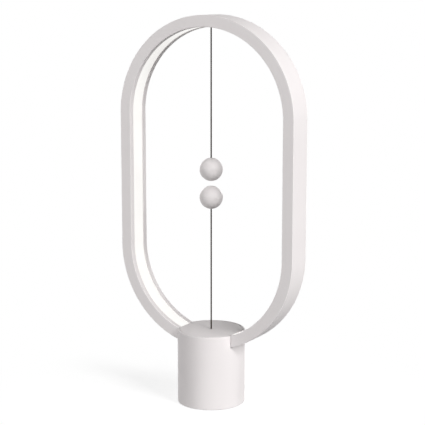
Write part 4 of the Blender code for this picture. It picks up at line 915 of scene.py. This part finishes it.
def make_drawn():
    """Drawn or turned metal: noise squeezed along two axes into fine lines along the third, as
    a height, and the same lines softened as a mask."""
    tree, take, give = make_group(
        "drawn_lines",
        {"Place": "Vector", "Stretch": "Vector", "Fineness": "Float"},
        {"Height": "Float", "Lines": "Float"},
    )
    inputs = {0: take["Place"], 1: take["Stretch"]}
    pulled = put(tree, "ShaderNodeVectorMath", inputs, operation="MULTIPLY").outputs[0]
    lines = noise(tree, pulled, take["Fineness"], detail=3.0)
    tree.links.new(lines, give["Height"])
    tree.links.new(mapped(tree, lines, LINE_RANGE), give["Lines"])
    return tree


def effect(tree, group, **inputs):
    """The outputs of a shared effect, placed in a material with its own values."""
    return put(tree, "ShaderNodeGroup", inputs, node_tree=group).outputs


def start_material(name, roughness, metallic=0.0, specular=0.5):
    """A material with its Principled shader, and the place on the piece."""
    made = bpy.data.materials.new(name)
    made.use_nodes = True
    tree = made.node_tree
    shader = tree.nodes["Principled BSDF"]
    shader.inputs["Roughness"].default_value = roughness
    shader.inputs["Metallic"].default_value = metallic
    shader.inputs["Specular IOR Level"].default_value = specular
    place = tree.nodes.new("ShaderNodeTexCoord").outputs["Object"]
    return made, tree, shader, place


def feed(tree, shader, values):
    """Joins values that change over the surface to the shader's own sockets."""
    for name, value in values.items():
        tree.links.new(value, shader.inputs[name])


def plastic(name, first, second, roughness, fineness, depth, specular=0.5):
    """Moulded plastic: two close tones in a broad cloud, and a fine grain in height and gloss."""
    made, tree, shader, place = start_material(name, roughness, specular=specular)
    grain = effect(tree, GRAIN, Place=place, Fineness=fineness, Breadth=PLASTIC_CLOUDS)
    swing = [roughness + change for change in PLASTIC_SWING]
    feed(tree, shader, {
        "Base Color": tones(tree, grain["Cloud"], first, second),
        "Roughness": mapped(tree, grain["Height"], gives=swing),
        "Normal": bump(tree, grain["Height"], depth),
    })
    return made


def metal(name, first, second, roughness, stretch, fineness, depth):
    """Drawn metal: two tones and a gloss that follow fine lines."""
    made, tree, shader, place = start_material(name, roughness, metallic=1.0)
    drawn = effect(tree, DRAWN, Place=place, Stretch=stretch, Fineness=fineness)
    swing = [roughness + change for change in METAL_SWING]
    feed(tree, shader, {
        "Base Color": tones(tree, drawn["Lines"], first, second),
        "Roughness": mapped(tree, drawn["Lines"], gives=swing),
        "Normal": bump(tree, drawn["Height"], depth),
    })
    return made


def glowing_opal():
    """The lit diffuser: milky plastic that gives off an even white, a little warmer and weaker
    in a broad cloud."""
    made, tree, shader, place = start_material("opal_diffuser_lit", roughness=0.42, specular=0.3)
    grain = effect(tree, GRAIN, Place=place, Fineness=2200.0, Breadth=OPAL_CLOUDS)
    cloud = grain["Cloud"]
    shader.inputs["Emission Strength"].default_value = DIFFUSER_GLOW
    feed(tree, shader, {
        "Base Color": tones(tree, cloud, (0.30, 0.30, 0.29), (0.34, 0.34, 0.33)),
        "Emission Color": tones(tree, cloud, (0.985, 0.965, 0.940), (1.0, 0.985, 0.965)),
        "Normal": bump(tree, grain["Height"], depth=0.000004),
    })
    return made


def braided_brown():
    """Dark brown braided yarn with painted shade: the raised strands are lighter and the grooves
    between them darker, with loose fibre noise over both."""
    made, tree, shader, place = start_material("brown_braid", roughness=0.88, specular=0.1)
    strand = put(tree, "ShaderNodeAttribute", attribute_name="strand").outputs["Fac"]
    fibre = noise(tree, place, scale=5200.0, detail=2.0)
    height = calculate(tree, "MULTIPLY_ADD", fibre, FIBRE_SHARE, strand)
    # Painted shade: the colour follows the weave's height, darker in the grooves and lighter on the
    # ridges
    raised = mapped(tree, height, STRAND_RANGE)
    feed(tree, shader, {
        "Base Color": tones(tree, raised, (0.015, 0.008, 0.004), (0.055, 0.032, 0.016)),
        "Roughness": mapped(tree, raised, gives=(0.95, 0.80)),
        "Normal": bump(tree, height, depth=0.00003),
    })
    return made


def board_green():
    """Circuit board: solder mask with lighter copper tracks under it, from a stepped pattern."""
    made, tree, shader, place = start_material("board_green_mask", roughness=0.35)
    gaps = put(tree, "ShaderNodeTexBrick", {
        "Vector": place, "Scale": 260.0, "Mortar Size": 0.06, "Brick Width": 0.9,
        "Row Height": 0.3,
    }).outputs["Fac"]
    tracks = calculate(tree, "SUBTRACT", 1.0, gaps)
    feed(tree, shader, {
        "Base Color": tones(tree, tracks, (0.07, 0.26, 0.13), (0.035, 0.15, 0.08)),
        "Roughness": mapped(tree, tracks, gives=(0.30, 0.42)),
        "Normal": bump(tree, gaps, depth=0.00003),
    })
    return made


def dress_nodes():
    """Gives each node that is still shown its material."""
    finishes = {
        "zinc_steel": ZINC, "brass": BRASS, "ballast_iron": IRON, "nickel_magnet": NICKEL,
        "foot_rubber": RUBBER, "black_plastic": BLACK, "board_resin": BOARD, "strip_board": STRIP,
        "natural_nylon": NYLON, "white_plastic": WHITE, "opal_diffuser": LIT_OPAL,
        "brown_cord": BRAID,
    }
    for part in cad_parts.values():
        for slot in part.material_slots:
            slot.material = finishes[slot.material.name.split(".")[0]]


def seen_directly(tree):
    """1 for a ray from the camera, off a glossy surface or through glass, and 0 for others."""
    ray = tree.nodes.new("ShaderNodeLightPath").outputs
    either = calculate(tree, "MAXIMUM", ray["Is Camera Ray"], ray["Is Glossy Ray"])
    return calculate(tree, "MAXIMUM", either, ray["Is Transmission Ray"])


def shade(tree, kind, **inputs):
    """A plain shader of one kind with its values."""
    return put(tree, f"ShaderNode{kind}", inputs).outputs[0]


def mixed(tree, share, first, second):
    """A shader between two others, as the share goes from 0 to 1."""
    return put(tree, "ShaderNodeMixShader", {0: share, 1: first, 2: second}).outputs[0]


def make_floor():
    """A wide pale floor. A camera, a mirror or glass sees it white, with the lamp's shadow as a
    faint grey where it is near the lamp, and other rays meet a plain grey."""
    side = FLOOR_REACH
    mesh = bpy.data.meshes.new("floor")
    corners = [(-side, -side, 0), (side, -side, 0), (side, side, 0), (-side, side, 0)]
    mesh.from_pydata(corners, [], [(0, 1, 2, 3)])
    material = bpy.data.materials.new("pale_floor")
    material.use_nodes = True
    tree = material.node_tree
    tree.nodes.clear()
    plain = shade(tree, "BsdfDiffuse", Color=FLOOR_COLOUR)
    shadowed = shade(tree, "BsdfDiffuse", Color=FLOOR_SHADOW)
    lift = shade(tree, "Emission", Color=WHITE_LIGHT, Strength=FLOOR_WHITE)
    far = shade(tree, "Emission", Color=WHITE_LIGHT, Strength=1.0)
    near = put(tree, "ShaderNodeAddShader", {0: shadowed, 1: lift}).outputs[0]
    place = tree.nodes.new("ShaderNodeTexCoord").outputs["Object"]
    away = put(tree, "ShaderNodeVectorMath", {0: place}, operation="LENGTH").outputs["Value"]
    fade = mapped(tree, away, SHADOW_REACH, interpolation_type="SMOOTHSTEP")
    surface = mixed(tree, seen_directly(tree), plain, mixed(tree, fade, near, far))
    put(tree, "ShaderNodeOutputMaterial", {"Surface": surface})
    mesh.materials.append(material)
    in_scene("floor", mesh)


def make_world():
    """White behind the object, and a weaker even light on it."""
    world = bpy.data.worlds.new("studio")
    bpy.context.scene.world = world
    world.use_nodes = True
    tree = world.node_tree
    tree.nodes.clear()
    around = shade(tree, "Background", Color=WHITE_LIGHT, Strength=AMBIENT)
    white = shade(tree, "Background", Color=WHITE_LIGHT, Strength=1.0)
    surface = mixed(tree, seen_directly(tree), around, white)
    put(tree, "ShaderNodeOutputWorld", {"Surface": surface})


def make_lights():
    """Soft square lamps at one distance from the middle of the ring, which they face."""
    for name, azimuth, elevation, size, power in LIGHTS:
        data = bpy.data.lights.new(name, "AREA")
        data.shape = "SQUARE"
        data.size = size
        data.energy = power
        turn, rise = math.radians(azimuth), math.radians(elevation)
        lamp = in_scene(name, data)
        lamp.location = (
            LIGHT_DISTANCE * math.sin(turn) * math.cos(rise),
            -LIGHT_DISTANCE * math.cos(turn) * math.cos(rise),
            LIGHT_MIDDLE + LIGHT_DISTANCE * math.sin(rise),
        )
        lamp.rotation_euler = (math.pi / 2 - rise, 0, turn)


# Effects and materials
GRAIN = make_grain()
DRAWN = make_drawn()
WHITE = plastic(
    "white_satin_plastic", (0.815, 0.775, 0.775), (0.835, 0.797, 0.795), roughness=0.52,
    fineness=2600.0, depth=0.000006, specular=0.4,
)
# Painted shade: the balls get a darker copy of the white plastic, standing in for shade that falls
# on them
BALL_WHITE_PAINTED_SHADE = plastic(
    "white_satin_ball", (0.775, 0.737, 0.737), (0.795, 0.758, 0.756), roughness=0.52,
    fineness=2600.0, depth=0.000006, specular=0.4,
)
LIT_OPAL = glowing_opal()
BRAID = braided_brown()
ZINC = metal(
    "zinc_steel_drawn", (0.56, 0.57, 0.58), (0.70, 0.71, 0.72), roughness=0.32,
    stretch=(1, 1, 0.08), fineness=4200.0, depth=0.000004,
)
BRASS = metal(
    "brass_turned", (0.62, 0.45, 0.20), (0.78, 0.60, 0.31), roughness=0.30,
    stretch=(0.1, 0.1, 1), fineness=5200.0, depth=0.000004,
)
IRON = metal(
    "ballast_iron_turned", (0.10, 0.10, 0.105), (0.20, 0.20, 0.205), roughness=0.52,
    stretch=(0.2, 0.2, 1), fineness=2200.0, depth=0.00001,
)
NICKEL = metal(
    "nickel_plate", (0.62, 0.61, 0.58), (0.72, 0.71, 0.69), roughness=0.18,
    stretch=(1, 1, 0.3), fineness=1400.0, depth=0.000002,
)
SOCKET_STEEL = metal(
    "socket_steel", (0.50, 0.51, 0.52), (0.64, 0.65, 0.66), roughness=0.26,
    stretch=(1, 0.08, 1), fineness=4200.0, depth=0.000003,
)
RUBBER = plastic(
    "foot_rubber_matt", (0.085, 0.085, 0.09), (0.115, 0.115, 0.12), roughness=0.86,
    fineness=1900.0, depth=0.00002, specular=0.3,
)
BLACK = plastic(
    "black_switch_plastic", (0.028, 0.028, 0.031), (0.042, 0.042, 0.046), roughness=0.50,
    fineness=2400.0, depth=0.000008,
)
NYLON = plastic(
    "natural_nylon_moulded", (0.70, 0.68, 0.62), (0.77, 0.75, 0.69), roughness=0.52,
    fineness=2100.0, depth=0.00001,
)
STRIP = plastic(
    "strip_board_white", (0.82, 0.82, 0.79), (0.88, 0.88, 0.86), roughness=0.48,
    fineness=3000.0, depth=0.000004,
)
BOARD = board_green()

# Camera, cords and then the rest of the lamp
make_camera()
make_cord(
    "upper", UPPER_ANCHOR, UPPER_SIDE_PIVOT, UPPER_FORE_PIVOT, UPPER_CORD_END,
    fixed_to="lamp",
)
make_cord(
    "lower", LOWER_ANCHOR, LOWER_SIDE_PIVOT, LOWER_FORE_PIVOT, LOWER_CORD_END,
    fixed_to="pull_switch",
)
make_ring()
make_housing()
make_cap()
make_bush()
make_ball("upper_ball", UPPER_BALL, False)
make_ball("lower_ball", LOWER_BALL, True)
make_socket()
make_cover()
make_foot()
for number, place in enumerate(SCREW_PLACES, 1):
    make_screw(f"cover_screw_{number}", place, COVER_SCREW_LENGTH)
make_screw("ballast_screw", (0, 0), BALLAST_SCREW_LENGTH)
dress_nodes()
make_floor()
make_world()
make_lights()
bpy.context.scene.view_settings.view_transform = "Standard"
